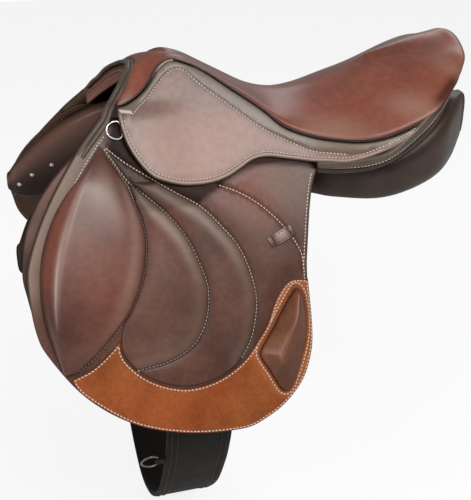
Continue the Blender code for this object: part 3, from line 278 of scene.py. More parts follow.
def left_of(line, closed=False):
    """Unit vectors to the left of a line in the plane."""
    if closed:
        way = np.roll(line, -1, axis=0) - np.roll(line, 1, axis=0)
    else:
        way = np.gradient(line, axis=0)
    way = unit(way)
    return np.stack([-way[:, 1], way[:, 0]], 1)


def nearest(points, line, closed=False):
    """Distance to a line, how far along it the nearest place is, and on which side of it a point lies."""
    if closed:
        line = np.vstack([line, line[:1]])
    a, d = line[:-1], np.diff(line, axis=0)
    size = np.maximum((d ** 2).sum(1), 1e-14)
    run = run_of(line)
    out = np.zeros((3, len(points)))
    for start in range(0, len(points), 3000):
        p = points[start:start + 3000, None]
        t = clip(((p - a) * d).sum(2) / size)
        gap = p - a - t[..., None] * d
        far = (gap ** 2).sum(2)
        k = far.argmin(1)
        i = np.arange(len(k))
        turn = d[k, 0] * gap[i, k, 1] - d[k, 1] * gap[i, k, 0]
        out[:, start:start + len(k)] = np.sqrt(far[i, k]), run[k] + t[i, k] * np.sqrt(size[k]), np.sign(turn)
    return out


def to_any(points, lines):
    """Distance to the nearest of several lines."""
    return np.minimum.reduce([nearest(points, line)[0] for line in lines])


def inside(points, outline):
    """Which points lie within a closed outline."""
    a, b = outline, np.roll(outline, -1, axis=0)
    x, z = points[:, 0][:, None], points[:, 1][:, None]
    crosses = (a[:, 1] > z) != (b[:, 1] > z)
    rise = np.where(b[:, 1] == a[:, 1], 1e-12, b[:, 1] - a[:, 1])
    at = (b[:, 0] - a[:, 0]) * (z - a[:, 1]) / rise + a[:, 0]
    return (crosses & (x < at)).sum(1) % 2 == 1


def inset(outline, by):
    """The outline moved inwards; places that cross over at a sharp tip are dropped."""
    outline = counter_clockwise(outline)
    moved = outline + left_of(outline, closed=True) * by
    near = nearest(moved, outline, closed=True)[0]
    return moved[(near > by * 0.93) & inside(moved, outline)]


def half_width(x, z):
    """Half the saddle's width at a place of its side, on the flap's outer face."""
    depth = np.maximum(0.0, SIDE_TOP - z)
    rear = smooth_step((x + 0.030) / 0.150)
    high = smooth_step((z + 0.070) / 0.070)
    return SIDE_HALF + SIDE_SPREAD * depth - SIDE_CURVE * depth * depth + REAR_WIDENING * rear * high


def side_room(z):
    """Clear depth between the flap and the sweat flap."""
    return ROOM_TOP + (ROOM_LOW - ROOM_TOP) * smooth_step((0.010 - z) / 0.070)


def skirt_lift(x, z):
    """How far the skirt stands off the flap."""
    front = smooth_step((seat_x(21.0) - x) / 0.085)
    low = smooth_step((0.070 - z) / 0.018)
    tail = smooth_step((x + 0.060) / 0.030)
    return SEAT_GAP + 0.0078 * front * low + 0.0006 * tail


def on_side(flat, lift, rise, side):
    """Places on the saddle's side: lift is across the saddle, rise is square to the surface."""
    x, z = flat[:, 0], flat[:, 1]
    step = 5e-4
    hx = (half_width(x + step, z) - half_width(x - step, z)) / (2 * step)
    hz = (half_width(x, z + step) - half_width(x, z - step)) / (2 * step)
    size = np.sqrt(1 + hx * hx + hz * hz)
    y = half_width(x, z) + lift
    return np.stack([x - rise * hx / size, side * (y + rise / size), z - rise * hz / size], 1)


def layer(lift, side):
    """A surface over the side plane at an even lift."""
    return lambda flat: on_side(flat, lift, 0.0, side)


def normals_on(surface, flat, side):
    """Outward unit normals of a surface over the side plane."""
    step = 0.0008
    across = surface(flat + (step, 0)) - surface(flat - (step, 0))
    up = surface(flat + (0, step)) - surface(flat - (0, step))
    out = np.cross(across, up) * -side
    out *= np.where(out[:, 1] * side > 0, 1, -1)[:, None]
    return unit(out)


# Meshes

def filled(outline, step, rows=(0.0006, 0.0014, 0.0026), lines=(), hole=None):
    """Points and triangles inside an outline, with rows of points along its edge and beside each line."""
    outline = counter_clockwise(outline)
    inward = left_of(outline, closed=True)
    rims = [outline]
    if hole:
        x0, x1, z0, z1 = hole
        rims.append(spaced(np.array([(x0, z0), (x1, z0), (x1, z1), (x0, z1)]), step, closed=True))
    parts = list(rims)

    def free(points, gap):
        keep = inside(points, outline) & (nearest(points, outline, True)[0] > gap)
        if hole:
            keep &= (nearest(points, rims[1], True)[0] > gap) & ~inside(points, rims[1])
        return keep

    for row in rows:
        moved = outline + inward * row
        parts.append(moved[free(moved, row * 0.9)])
    blocked = []
    for line, offsets in lines:
        line = spaced(line, 0.0025)
        beside = left_of(line)
        for offset in offsets:
            moved = line + beside * offset
            keep = free(moved, (rows[-1] if rows else 0) + 0.0008)
            for other, reach in blocked:
                keep &= nearest(moved, other)[0] > reach
            parts.append(moved[keep])
        blocked.append((line, max(abs(o) for o in offsets) + 0.0008))
    low, high = outline.min(0), outline.max(0)
    grid = []
    for k, z in enumerate(np.arange(low[1], high[1], step * 0.866)):
        x = np.arange(low[0] + (k % 2) * step / 2, high[0], step)
        grid.append(np.stack([x, np.full(len(x), z)], 1))
    grid = np.vstack(grid)
    keep = free(grid, (rows[-1] if rows else 0) + step * 0.5)
    for other, reach in blocked:
        keep &= nearest(grid, other)[0] > reach + step * 0.3
    parts.append(grid[keep])
    points = np.vstack(parts)
    cells = np.round(points / 0.0004).astype(int)
    first = np.sort(np.unique(cells, axis=0, return_index=True)[1])
    fixed = sum(len(rim) for rim in rims)
    first = np.concatenate([np.arange(fixed), first[first >= fixed]])
    points = points[first]
    edges = []
    base = 0
    for rim in rims:
        edges += [(base + i, base + (i + 1) % len(rim)) for i in range(len(rim))]
        base += len(rim)
    found = delaunay_2d_cdt([Vector(p * 100) for p in points], edges, [], 0, 1e-5)
    points = np.array([tuple(v) for v in found[0]]) / 100
    faces = np.array(found[2], int)
    middle = points[faces].mean(1)
    keep = inside(middle, outline)
    if hole:
        keep &= ~inside(middle, rims[1])
    faces = faces[keep]
    a, b, c = (points[faces[:, k]] for k in range(3))
    turn = (b[:, 0] - a[:, 0]) * (c[:, 1] - a[:, 1]) - (b[:, 1] - a[:, 1]) * (c[:, 0] - a[:, 0])
    faces[turn < 0] = faces[turn < 0][:, ::-1]
    faces = faces[abs(turn) > 1e-12]
    used = np.unique(faces)
    new = np.full(len(points), -1)
    new[used] = np.arange(len(used))
    return points[used], new[faces]


def rim_edges(faces):
    """The directed edges of a face list that only one face uses."""
    edges = {}
    for face in faces:
        for a, b in zip(face, list(face[1:]) + [face[0]]):
            if (b, a) in edges:
                del edges[(b, a)]
            else:
                edges[(a, b)] = True
    return list(edges)


def closed_shell(top, low, faces):
    """Points and faces of a closed piece between two layers with the same faces."""
    faces = [tuple(int(i) for i in face) for face in faces]
    n = len(top)
    body = faces + [tuple(i + n for i in reversed(face)) for face in faces]
    body += [(b, a, a + n, b + n) for a, b in rim_edges(faces)]
    return np.vstack([top, low]), body


def piece_from(name, points, faces, look, values=None, sharp=None):
    """A named mesh object with its finish, its record slot and its per-point values."""
    mesh = bpy.data.meshes.new(name)
    mesh.from_pydata(np.asarray(points).tolist(), [], [tuple(int(i) for i in f) for f in faces])
    mesh.update()
    mesh.shade_smooth()
    if sharp:
        mesh.set_sharp_from_angle(angle=math.radians(sharp))
    for key, numbers in (values or {}).items():
        attribute = mesh.attributes.new(key, "FLOAT", "POINT")
        attribute.data.foreach_set("value", np.asarray(numbers, np.float32))
    piece = bpy.data.objects.new(name, mesh)
    bpy.context.collection.objects.link(piece)
    mesh.materials.append(look)
    return piece


def on_both(values):
    """The same per-point values for a shell's outer and inner layer."""
    return {key: np.tile(numbers, 2) for key, numbers in values.items()}


def side_piece(name, side, flat, faces, under, over, look, values=None):
    """A closed piece on the saddle's side, from flat points and two surfaces over them."""
    faces = faces if side == LEFT else faces[:, ::-1]
    points, body = closed_shell(over(flat), under(flat), faces)
    return piece_from(name, points, body, look, on_both(values or {}))


def between_rows(rows, columns, closed=False):
    """Four-sided faces between rows of points; closed rows join their own ends."""
    wide = columns if closed else columns - 1
    return [(i * columns + k, i * columns + (k + 1) % columns, (i + 1) * columns + (k + 1) % columns,
             (i + 1) * columns + k) for i in range(rows - 1) for k in range(wide)]


def end_caps(rows, columns):
    return [tuple(reversed(range(columns))), tuple((rows - 1) * columns + k for k in range(columns))]


def swept(path, out, section, closed=False):
    """Points and faces of a section swept along a path; out is the section's second axis at each point."""
    path, out = np.asarray(path, float), np.asarray(out, float)
    if closed:
        way = np.roll(path, -1, axis=0) - np.roll(path, 1, axis=0)
    else:
        way = np.gradient(path, axis=0)
    way = unit(way)
    out = out - way * (out * way).sum(1)[:, None]
    out = unit(out)
    wide = np.cross(way, out)
    section = np.asarray(section, float)
    if section.ndim == 2:
        section = np.repeat(section[None], len(path), axis=0)
    points = path[:, None] + wide[:, None] * section[..., :1] + out[:, None] * section[..., 1:]
    m, n = section.shape[:2]
    if closed:
        faces = [tuple(v % (m * n) for v in face) for face in between_rows(m + 1, n, True)]
    else:
        faces = between_rows(m, n, True) + end_caps(m, n)
    return points.reshape(-1, 3), faces


def oval(wide, high, sides=10):
    turn = 2 * np.pi * np.arange(sides) / sides
    return np.stack([wide * np.cos(turn), high * np.sin(turn)], 1)


def soft_box(wide, high, corner, steps=3):
    """A rounded rectangle section, counted from its middle."""
    out = []
    for cx, cy, start in ((1, 1, 0), (-1, 1, 90), (-1, -1, 180), (1, -1, 270)):
        for k in range(steps + 1):
            angle = math.radians(start + 90 * k / steps)
            out.append((cx * (wide / 2 - corner) + corner * math.cos(angle),
                        cy * (high / 2 - corner) + corner * math.sin(angle)))
    return np.array(out)


def gathered(parts):
    """Several lists of points and faces as one."""
    points, faces, base = [], [], 0
    for p, f in parts:
        points.append(p)
        faces += [tuple(int(i) + base for i in face) for face in f]
        base += len(p)
    return np.vstack(points), faces


def stitches(line, normals, size, slant=0.18):
    """A row of thread stitches, as small capsules that lie half in the leather."""
    run = run_of(line)
    count = max(1, int(run[-1] / size.stitch_pitch))
    at = (np.arange(count) + 0.5) * run[-1] / count
    middle = np.stack([np.interp(at, run, line[:, k]) for k in range(3)], 1)
    ahead = np.stack([np.interp(at + 0.0008, run, line[:, k]) for k in range(3)], 1)
    behind = np.stack([np.interp(at - 0.0008, run, line[:, k]) for k in range(3)], 1)
    up = np.stack([np.interp(at, run, normals[:, k]) for k in range(3)], 1)
    way = ahead - behind
    way = unit(way)
    up -= way * (up * way).sum(1)[:, None]
    up = unit(up)
    beside = np.cross(way, up)
    way = way + beside * slant
    way = unit(way)
    beside = np.cross(way, up)
    sides = 6
    turn = 2 * np.pi * np.arange(sides) / sides
    template = [(-size.stitch_length / 2, 0, 0)]
    for along, share in ((-0.42, 0.72), (0.0, 1.0), (0.42, 0.72)):
        for angle in turn:
            reach = size.thread_radius * share
            template.append((size.stitch_length * along, reach * math.cos(angle), reach * math.sin(angle)))
    template.append((size.stitch_length / 2, 0, 0))
    template = np.array(template)
    faces = []
    for k in range(sides):
        q = (k + 1) % sides
        faces.append((0, 1 + q, 1 + k))
        for ring in (0, 1):
            low = 1 + ring * sides
            faces.append((low + k, low + q, low + sides + q, low + sides + k))
        faces.append((1 + 2 * sides + k, 1 + 2 * sides + q, 1 + 3 * sides))
    middle = middle + up * size.thread_radius * 0.35
    axes = zip((way, beside, up), template.T)
    points = middle[:, None] + sum(axis[:, None] * reach[None, :, None] for axis, reach in axes)
    faces = [tuple(i + k * len(template) for i in face) for k in range(count) for face in faces]
    return points.reshape(-1, 3), faces


def thread_on(name, rows, side, look, size):
    """Stitches along flat lines on a side surface; each row is (line, surface)."""
    parts = []
    for line, surface in rows:
        line = spaced(line, 0.002)
        parts.append(stitches(surface(line), normals_on(surface, line, side), size))
    points, faces = gathered(parts)
    return piece_from(name, points, faces, look)


def bends(piece, side, fold):
    """A piece that crosses a fold line bends from the saddle to the moving part over a short way."""
    start, line, reach, lift = fold
    body = start + SIDE_NAME[side]
    surface = layer(lift, side)
    ends = surface(np.array(line))
    middle = np.array(line).mean(0)[None]
    centre = surface(middle)[0]
    normal = normals_on(surface, middle, side)[0]
    down = np.cross(ends[1] - ends[0], normal)
    down = unit(down)
    if down[2] > 0:
        down = -down
    centre = (ends[0] + ends[1]) / 2 + normal * max(0.0, (centre - (ends[0] + ends[1]) / 2) @ normal)
    tuple(centre - down * reach)
    tuple(centre + down * reach)
    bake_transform(piece)
    return piece


# Finishes

CUT_EDGE = (0.020, 0.013, 0.010)


class Value:
    """A shader socket. Python's operators on it add Math nodes."""

    def __init__(self, look, socket):
        self.look = look
        self.socket = socket

    def math(self, operation, other=None, first=None):
        inputs = [v for v in (first, self, other) if v is not None]
        return self.look.node("ShaderNodeMath", {"operation": operation}, dict(enumerate(inputs)))

    def __add__(self, other):
        return self.math("ADD", other)

    __radd__ = __add__

    def __mul__(self, other):
        return self.math("MULTIPLY", other)

    __rmul__ = __mul__

    def __sub__(self, other):
        return self.math("SUBTRACT", other)

    def __rsub__(self, other):
        return self.math("SUBTRACT", first=other)

    def __pow__(self, other):
        return self.math("POWER", other)

    def ramp(self, low, high):
        """0 below low, 1 above high, soft between."""
        return self.look.node("ShaderNodeMapRange", {"interpolation_type": "SMOOTHSTEP"},
                              {"Value": self, "From Min": low, "From Max": high})


class Nodes:
    """A node tree: its sockets get numbers, colours or links."""

    def __init__(self, tree):
        self.tree = tree

    def put(self, socket, value):
        if isinstance(value, Value):
            self.tree.links.new(value.socket, socket)
        elif socket.type == "RGBA":
            socket.default_value = (*value, 1.0)
        else:
            socket.default_value = value

    def node(self, kind, settings=None, inputs=None, output=0):
        """Any node: its type, its settings, then the values or links of its sockets."""
        made = self.tree.nodes.new(kind)
        for key, value in (settings or {}).items():
            setattr(made, key, value)
        for key, value in (inputs or {}).items():
            self.put(made.inputs[key], value)
        return Value(self, made.outputs[output])


class Look(Nodes):
    """One finish: a material's nodes and its Principled shader."""

    def __init__(self, name, **constants):
        self.material = bpy.data.materials.new(name)
        self.material.use_nodes = True
        super().__init__(self.material.node_tree)
        self.shader = self.tree.nodes["Principled BSDF"]
        self.set(**constants)

    def set(self, **sockets):
        for key, value in sockets.items():
            self.put(self.shader.inputs[key.replace("_", " ")], value)

    def noise(self, scale, detail=3.0, rough=0.5, stretch=(1, 1, 1)):
        place = self.node("ShaderNodeTexCoord", output=3)
        if stretch != (1, 1, 1):
            place = self.node("ShaderNodeVectorMath", {"operation": "MULTIPLY"}, {0: place, 1: stretch})
        return self.node("ShaderNodeTexNoise", {}, {"Vector": place, "Scale": scale, "Detail": detail,
                                                    "Roughness": rough})

    def cells(self, scale):
        place = self.node("ShaderNodeTexCoord", output=3)
        return self.node("ShaderNodeTexVoronoi", {}, {"Vector": place, "Scale": scale})

    def mark(self, name):
        """A per-point value of the mesh, 0 where a piece hasn't one."""
        return self.node("ShaderNodeAttribute", {"attribute_name": name}, output=2)

    def mix(self, share, a, b, blend="MIX"):
        return self.node("ShaderNodeMix", {"data_type": "RGBA", "blend_type": blend},
                         {0: share, 6: a, 7: b}, 2)

    def bump(self, height, strength, distance):
        return self.node("ShaderNodeBump", {}, {"Height": height, "Strength": strength, "Distance": distance})


def leather(name, light, dark, warm, gloss, grain, second=None, pale=None, coat=0.5, pebble=0.0, cloud=16.0):
    """Dressed leather: cloudy dye, darker hollows and edges, burnished crowns and a fine grain."""
    look = Look(name, Coat_Roughness=gloss - 0.04, Specular_IOR_Level=0.06)
    pale = pale or tuple(min(1.0, c * 1.45 + 0.02) for c in light)
    clouds = look.noise(cloud, 4.0, 0.55).ramp(0.32, 0.68)
    patches = look.noise(cloud * 0.45, 2.0, 0.5).ramp(0.42, 0.66)
    flecks = look.noise(cloud * 14, 2.0, 0.6)
    colour = look.mix(clouds, dark, light)
    colour = look.mix(patches * 0.45, colour, warm)
    colour = look.mix(look.mark("warm") * 0.75, colour, warm)
    if second:
        colour = look.mix(look.mark("tan") * 0.85, colour, second)
    colour = look.mix(0.22, colour, look.mix(flecks.ramp(0.35, 0.65), (0.32, 0.30, 0.28), (0.72, 0.70, 0.68)),
                      "OVERLAY")
    # Painted highlights, and a few paler places, mix towards the pale colour
    colour = look.mix(look.mark("pale_and_highlight") * 0.60, colour, pale)
    colour = look.mix(look.mark("dip") * 0.80, colour, tuple(c * 0.28 for c in dark))
    # Painted shade: the skirt's shadow on the flap and the shaded sides of pads, block and panels
    colour = look.mix(look.mark("shade") * 0.86, colour, tuple(c * 0.16 for c in dark))
    colour = look.mix(look.mark("rim"), colour, CUT_EDGE)
    fine = look.cells(1500.0)
    small = look.noise(650.0, 2.0, 0.6)
    height = fine * 0.5 + small * 0.5
    if pebble:
        height = height * 0.4 + look.cells(520.0) * pebble
    rough = flecks * 0.16 + clouds * 0.05 + (gloss - 0.10)
    look.set(Base_Color=colour, Roughness=rough + look.mark("rim") * 0.15,
             Coat_Weight=look.mark("shade") * (-0.95 * coat) + coat, Normal=look.bump(height, grain, 0.0004))
    return look.material


def thread_look(name, colour):
    look = Look(name, Roughness=0.75, Sheen_Weight=0.2)
    tint = look.noise(420.0, 2.0, 0.6)
    dirt = look.noise(24.0, 2.0, 0.5)
    base = look.mix(tint, tuple(c * 0.72 for c in colour), colour)
    base = look.mix(dirt.ramp(0.45, 0.75) * 0.45, base, tuple(c * 0.55 for c in colour))
    look.set(Base_Color=base, Normal=look.bump(look.noise(2200.0, 1.0), 0.4, 0.0003))
    return look.material


def web_look(name, colour, scale=900.0):
    """Woven webbing: two crossing sets of ribs."""
    look = Look(name, Specular_IOR_Level=0.12)
    place = look.node("ShaderNodeTexCoord", output=3)
    ribs = [look.node("ShaderNodeTexWave", {"bands_direction": way, "wave_profile": "SIN"},
                      {"Vector": place, "Scale": scale / 6.28, "Distortion": 0.0}, 1)
            for way in ("X", "DIAGONAL")]
    weave = ribs[0] * 0.5 + ribs[1] * 0.5
    tone = look.noise(40.0, 3.0, 0.6)
    base = look.mix(weave, tuple(c * 0.6 for c in colour), colour)
    base = look.mix(tone.ramp(0.4, 0.7) * 0.4, base, tuple(c * 1.5 for c in colour))
    look.set(Base_Color=base, Roughness=tone * 0.2 + 0.55, Normal=look.bump(weave, 0.35, 0.0004))
    return look.material


def steel_look(name, colour, rough):
    look = Look(name, Metallic=1.0)
    scratch = look.noise(300.0, 4.0, 0.7, (1, 6, 1))
    stain = look.noise(60.0, 3.0, 0.6)
    base = look.mix(stain.ramp(0.45, 0.75) * 0.5, colour, tuple(c * 0.55 for c in colour))
    look.set(Base_Color=base, Roughness=scratch * 0.22 + rough, Normal=look.bump(scratch, 0.10, 0.0003))
    return look.material


def wood_look(name, light, dark):
    look = Look(name)
    rings = look.noise(26.0, 4.0, 0.6, (0.3, 3.0, 3.0))
    pores = look.noise(600.0, 3.0, 0.7, (0.15, 1.0, 1.0))
    base = look.mix(rings.ramp(0.35, 0.65), dark, light)
    base = look.mix(pores.ramp(0.5, 0.7) * 0.4, base, tuple(c * 0.5 for c in dark))
    look.set(Base_Color=base, Roughness=pores * 0.25 + 0.45, Normal=look.bump(pores, 0.2, 0.0004))
    return look.material


def foam_look(name, colour):
    look = Look(name)
    cells = look.cells(900.0)
    tone = look.noise(30.0, 3.0, 0.5)
    base = look.mix(tone, colour, tuple(c * 0.7 for c in colour))
    look.set(Base_Color=base, Roughness=cells * 0.1 + 0.85, Normal=look.bump(cells, 0.5, 0.0006))
    return look.material


LOOKS = {}


def shared(dye, share):
    """A dye with a share of each of its colours."""
    return tuple(float(v) for v in np.minimum(1.0, dye * share))


def make_looks(colours):
    """Every finish of the saddle, from the colours in the panel."""
    seat, skirt, flap, pad = (np.array(c) for c in (colours.seat, colours.skirt, colours.flap, colours.pad))
    tan, panel, binding = (np.array(c) for c in (colours.patch, colours.panel, colours.binding))

    plain = np.ones(3)
    # Key, material, dye, its light, dark and warm shares, gloss, grain and what is special to it; a pale
    # colour is the colour of the painted highlights
    hides = (
        ("seat", "seat_hide", seat, (1.15, 1.10, 1.05), (0.62, 0.58, 0.60), (1.10, 0.90, 0.85), 0.36, 0.08,
         {"pale": (0.36, 0.25, 0.19), "cloud": 8.0}),
        ("skirt", "skirt_hide", skirt, (1.12, 1.12, 1.12), (0.74, 0.80, 0.86), (1.25, 0.95, 0.82), 0.40, 0.08,
         {"second": shared(binding, (1.7, 1.7, 1.7)), "pale": (0.44, 0.36, 0.30), "coat": 0.9, "cloud": 9.0}),
        ("flap", "flap_hide", flap, (1.20, 1.16, 1.12), (0.62, 0.58, 0.60), (1.75, 1.25, 1.10), 0.40, 0.08,
         {"second": shared(binding, (1.5, 1.45, 1.4)), "pale": (0.33, 0.26, 0.20), "coat": 0.45,
          "cloud": 12.0}),
        ("pad", "pad_hide", pad, (1.15, 1.12, 1.10), (0.56, 0.50, 0.50), (1.45, 0.90, 0.75), 0.34, 0.08,
         {"pale": (0.42, 0.30, 0.25), "cloud": 10.0, "coat": 0.75}),
        ("tan", "tan_grained_hide", tan, (1.0, 1.0, 0.95), (0.66, 0.60, 0.56), (1.05, 0.82, 0.70), 0.55, 0.60,
         {"coat": 0.0, "pebble": 0.9, "cloud": 20.0}),
        ("block", "block_hide", tan, (0.62, 0.80, 1.30), (0.34, 0.40, 0.60), (0.75, 0.78, 1.0), 0.34, 0.08,
         {}),
        # The panel's second colour paints a redder highlight on the lit band at its front
        ("panel", "panel_hide", panel, (1.25, 1.25, 1.25), (0.60, 0.60, 0.60), (1.15, 0.95, 0.9), 0.42, 0.10,
         {"second": (0.135, 0.052, 0.034)}),
        ("lining", "lining_hide", plain, (0.150, 0.062, 0.040), (0.085, 0.032, 0.022), (0.160, 0.058, 0.036),
         0.45, 0.10, {"second": (0.058, 0.023, 0.008), "coat": 0.6}),
        ("binding", "binding_hide", binding, (1.2, 1.2, 1.2), (0.7, 0.7, 0.7), (1.1, 0.95, 0.9), 0.40, 0.10,
         {}),
        ("welt", "welt_hide", plain, (0.026, 0.018, 0.014), (0.012, 0.008, 0.006), (0.032, 0.018, 0.013),
         0.38, 0.1, {}))
    for key, name, dye, light, dark, warm, gloss, grain, special in hides:
        dyes = (shared(dye, share) for share in (light, dark, warm))
        LOOKS[key] = leather(name, *dyes, gloss, grain, **special)
    LOOKS.update({
        "thread": thread_look("waxed_thread", tuple(colours.thread)),
        "dark_thread": thread_look("dark_thread", (0.10, 0.055, 0.035)),
        "black_web": web_look("girth_web", (0.009, 0.007, 0.005)),
        "webbing": web_look("seat_web_weave", (0.52, 0.48, 0.40)),
        "steel": steel_look("bright_steel", (0.62, 0.61, 0.59), 0.20),
        "dark_steel": steel_look("forged_steel", (0.20, 0.19, 0.18), 0.32),
        "wood": wood_look("beech", (0.46, 0.31, 0.17), (0.30, 0.18, 0.09)),
        "foam": foam_look("seat_foam_cells", (0.62, 0.58, 0.47)),
    })


# Seat

# The seat's middle line: percent of its length, height over its lowest place
SPINE = [
    (7.8, POMMEL_RISE - 0.0100), (13.6, POMMEL_RISE), (19.0, POMMEL_RISE - 0.0040),
    (27.6, POMMEL_RISE - 0.0240), (36.2, POMMEL_RISE - 0.0445), (44.8, 0.0005), (52.4, 0.0),
    (59.9, 0.0095), (71.8, 0.0345)]
# Ribs from that line to the edge: share of the edge, foot on the line, pull outwards and up, lift at the foot
RIBS = [
    (0.00, 14.7, 0.002, 0.009, 0.000), (0.12, 14.9, -0.003, 0.006, -0.003),
    (0.19, 16.2, -0.008, 0.004, -0.005), (0.32, 20.4, -0.004, 0.004, -0.006),
    (0.42, 33.0, 0.002, 0.008, -0.002), (0.53, 49.1, 0.008, 0.008, -0.005),
    (0.70, 64.2, 0.012, 0.008, -0.006), (0.82, 68.5, 0.020, 0.011, -0.004),
    (0.91, 70.2, 0.026, 0.034, 0.006), (1.00, 71.8, 0.034, 0.058, 0.026)]
# The cantle's edge: degrees round from the back, fall of the edge, fall of the piping under it
CANTLE_FALL = np.array([
    (0.0, 0.0, 0.0090), (30.0, 0.0025, 0.0115), (44.0, 0.0095, 0.0200), (50.0, 0.0180, 0.0330),
    (58.0, 0.0320, 0.0540), (65.0, 0.0440, 0.0690), (72.0, 0.0525, 0.0800), (80.0, 0.0605, 0.0900)])
SPINE_CURVE = catmull([(seat_x(a), SEAT_LOW + z) for a, z in SPINE], 8)
SEAT_STEPS = 34
# Painted highlights on the seat where sheen falls: x, z, length, height and strength
SEAT_SHEEN = ((0.028, 0.028, 0.048, 0.013, 0.60), (0.128, 0.052, 0.030, 0.013, 0.65),
              (0.189, 0.091, 0.014, 0.010, 0.40))


def cantle_arc(degrees):
    fall = np.interp(degrees, CANTLE_FALL[:, 0], CANTLE_FALL[:, 1])
    angle = math.radians(degrees)
    return (CANTLE_CENTRE + CANTLE_DEPTH * math.cos(angle), CANTLE_HALF_WIDTH * math.sin(angle),
            CANTLE_TOP - fall)


def seat_edge():
    """The seat's lower edge on one side, from the front centre round to the back centre."""
    front = [(seat_x(7.8), 0.0, POMMEL_TOP - 0.0090), (seat_x(6.2), 0.026, POMMEL_TOP - 0.0140),
             (seat_x(2.8), 0.050, POMMEL_TOP - 0.0290)]
    line = SEAM[:-1] + left_of(SEAM)[:-1] * 0.0026
    y = half_width(line[:, 0], line[:, 1]) + skirt_lift(line[:, 0], line[:, 1]) + SKIRT_THICK
    side = [(x, b, z) for (x, z), b in zip(line, y)]
    arc = [cantle_arc(a) for a in (65, 58, 50, 44, 30, 15, 0)]
    return np.array(front + side + arc)


def keyed(table, at, column):
    """A column of a table whose first column is the key, eased between its rows."""
    for low, high in zip(table, table[1:]):
        if at <= high[0]:
            share = float(smooth_step((at - low[0]) / (high[0] - low[0])))
            return low[column] + (high[column] - low[column]) * share
    return table[-1][column]


def seat_ribs(edge):
    """Rows of points from the seat's middle line out to its edge on one side."""
    run = run_of(edge) / run_of(edge)[-1]
    t = np.linspace(0, 1, SEAT_STEPS + 1)[:, None]
    s = 1 - t
    rows = []
    for at, end in zip(run, edge):
        foot_x = seat_x(keyed(RIBS, at, 1))
        foot = np.array([foot_x, 0.0, np.interp(foot_x, SPINE_CURVE[:, 0], SPINE_CURVE[:, 1])])
        out, up, lift = (keyed(RIBS, at, c) for c in (2, 3, 4))
        plan = np.array([end[0] - foot[0], end[1], 0.0])
        p1 = foot + plan * 0.5 + (0, 0, lift)
        p2 = end + unit(plan) * out + (0, 0, up)
        rows.append(foot * s ** 3 + p1 * 3 * t * s * s + p2 * 3 * t * t * s + end * t ** 3)
    return np.array(rows)


def seat_surface(grid, smoothing):
    """The seat's faired surface on both sides: places, normals, shares from middle to edge, and faces."""
    bm = bmesh.new()
    share = bm.verts.layers.float.new("share")
    for side in (LEFT, RIGHT):
        verts = []
        for row in grid:
            line = []
            for j, p in enumerate(row):
                v = bm.verts.new((p[0], p[1] * side, p[2]))
                v[share] = j / SEAT_STEPS
                line.append(v)
            verts.append(line)
        for i in range(len(verts) - 1):
            for j in range(SEAT_STEPS):
                ring = [verts[i][j], verts[i][j + 1], verts[i + 1][j + 1], verts[i + 1][j]]
                bm.faces.new(ring[::side])
    bmesh.ops.remove_doubles(bm, verts=bm.verts[:], dist=4e-5)
    inner = [v for v in bm.verts if not v.is_boundary]
    folds = [v for v in inner if v[share] < 0.60 and v.co.x > 0.02]
    for group, times in ((inner, smoothing), (folds, smoothing * 4)):
        for _ in range(times):
            bmesh.ops.smooth_vert(bm, verts=group, factor=0.5, use_axis_x=True, use_axis_y=True,
                                  use_axis_z=True)
    bm.normal_update()
    if sum(f.normal.z for f in bm.faces) < 0:
        bmesh.ops.reverse_faces(bm, faces=bm.faces[:])
        bm.normal_update()
    bm.verts.index_update()
    top = np.array([v.co[:] for v in bm.verts])
    normals = np.array([v.normal[:] for v in bm.verts])
    shares = np.array([v[share] for v in bm.verts])
    faces = [tuple(v.index for v in f.verts) for f in bm.faces]
    bm.free()
    return top, normals, shares, faces


def make_seat(size):
    """The leather seat as a padded cover, the cushion in it and the welt sewn round its lower edge."""
    edge = catmull(seat_edge(), 4)
    top, normals, shares, faces = seat_surface(seat_ribs(edge), size.seat_smoothing)
    normals[:, 2] *= 1 - 0.9 * smooth_step((shares - 0.86) / 0.14)
    normals = unit(normals)
    points, body = closed_shell(top, top - normals * 0.0020, faces)
    dip = smooth_step((shares - 0.965) / 0.035) * 0.6
    # Painted shade where the seat's edge turns under at the cantle
    turned = 1 - smooth_step((np.hypot(top[:, 0] - 0.172, abs(top[:, 1]) - 0.121) - 0.010) / 0.020)
    shade = smooth_step((shares - 0.66) / 0.12) * turned * 0.85
    # Painted highlights on the seat's sides, at the places in SEAT_SHEEN
    pale_and_highlight = sum(share * hill(top[:, 0], x, wide) * hill(top[:, 2], z, high)
                for x, z, wide, high, share in SEAT_SHEEN) * smooth_step((shares - 0.35) / 0.2)
    seat = piece_from("seat", points, body, LOOKS["seat"],
                      on_both({"dip": dip, "shade": shade, "pale_and_highlight": pale_and_highlight}))
    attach(seat, "saddle")
    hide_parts("seat_cover")
    sunk = (shares ** 0.5)[:, None]
    points, body = closed_shell(top * (1, 0.96, 1) - normals * 0.0026 - (0, 0, 0.0004),
                                top * (1, 0.90, 1) - normals * 0.0050 - (0, 0, 0.0075) * (1.2 - sunk), faces)
    foam = piece_from("seat_cushion", points, body, LOOKS["foam"])
    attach(foam, "saddle")
    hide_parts("seat_foam")
    half = spaced(edge, 0.004)
    loop = np.vstack([half * (1, -1, 1), half[::-1][1:-1]])
    out = unit((loop - (CANTLE_CENTRE * 0.3, 0, 0)) * (1, 1, 0))
    path = loop + out * 0.0004 + (0, 0, -0.0010)
    points, faces = swept(path, out, oval(size.welt_radius, size.welt_radius), closed=True)
    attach(piece_from("seat_welt", points, faces, LOOKS["welt"]), "saddle")


# Pommel

def both_sides(half):
    """A line from the near side over the middle to the far side, from its far half."""
    return np.vstack([half * (1, -1, 1), half[::-1][1:]])


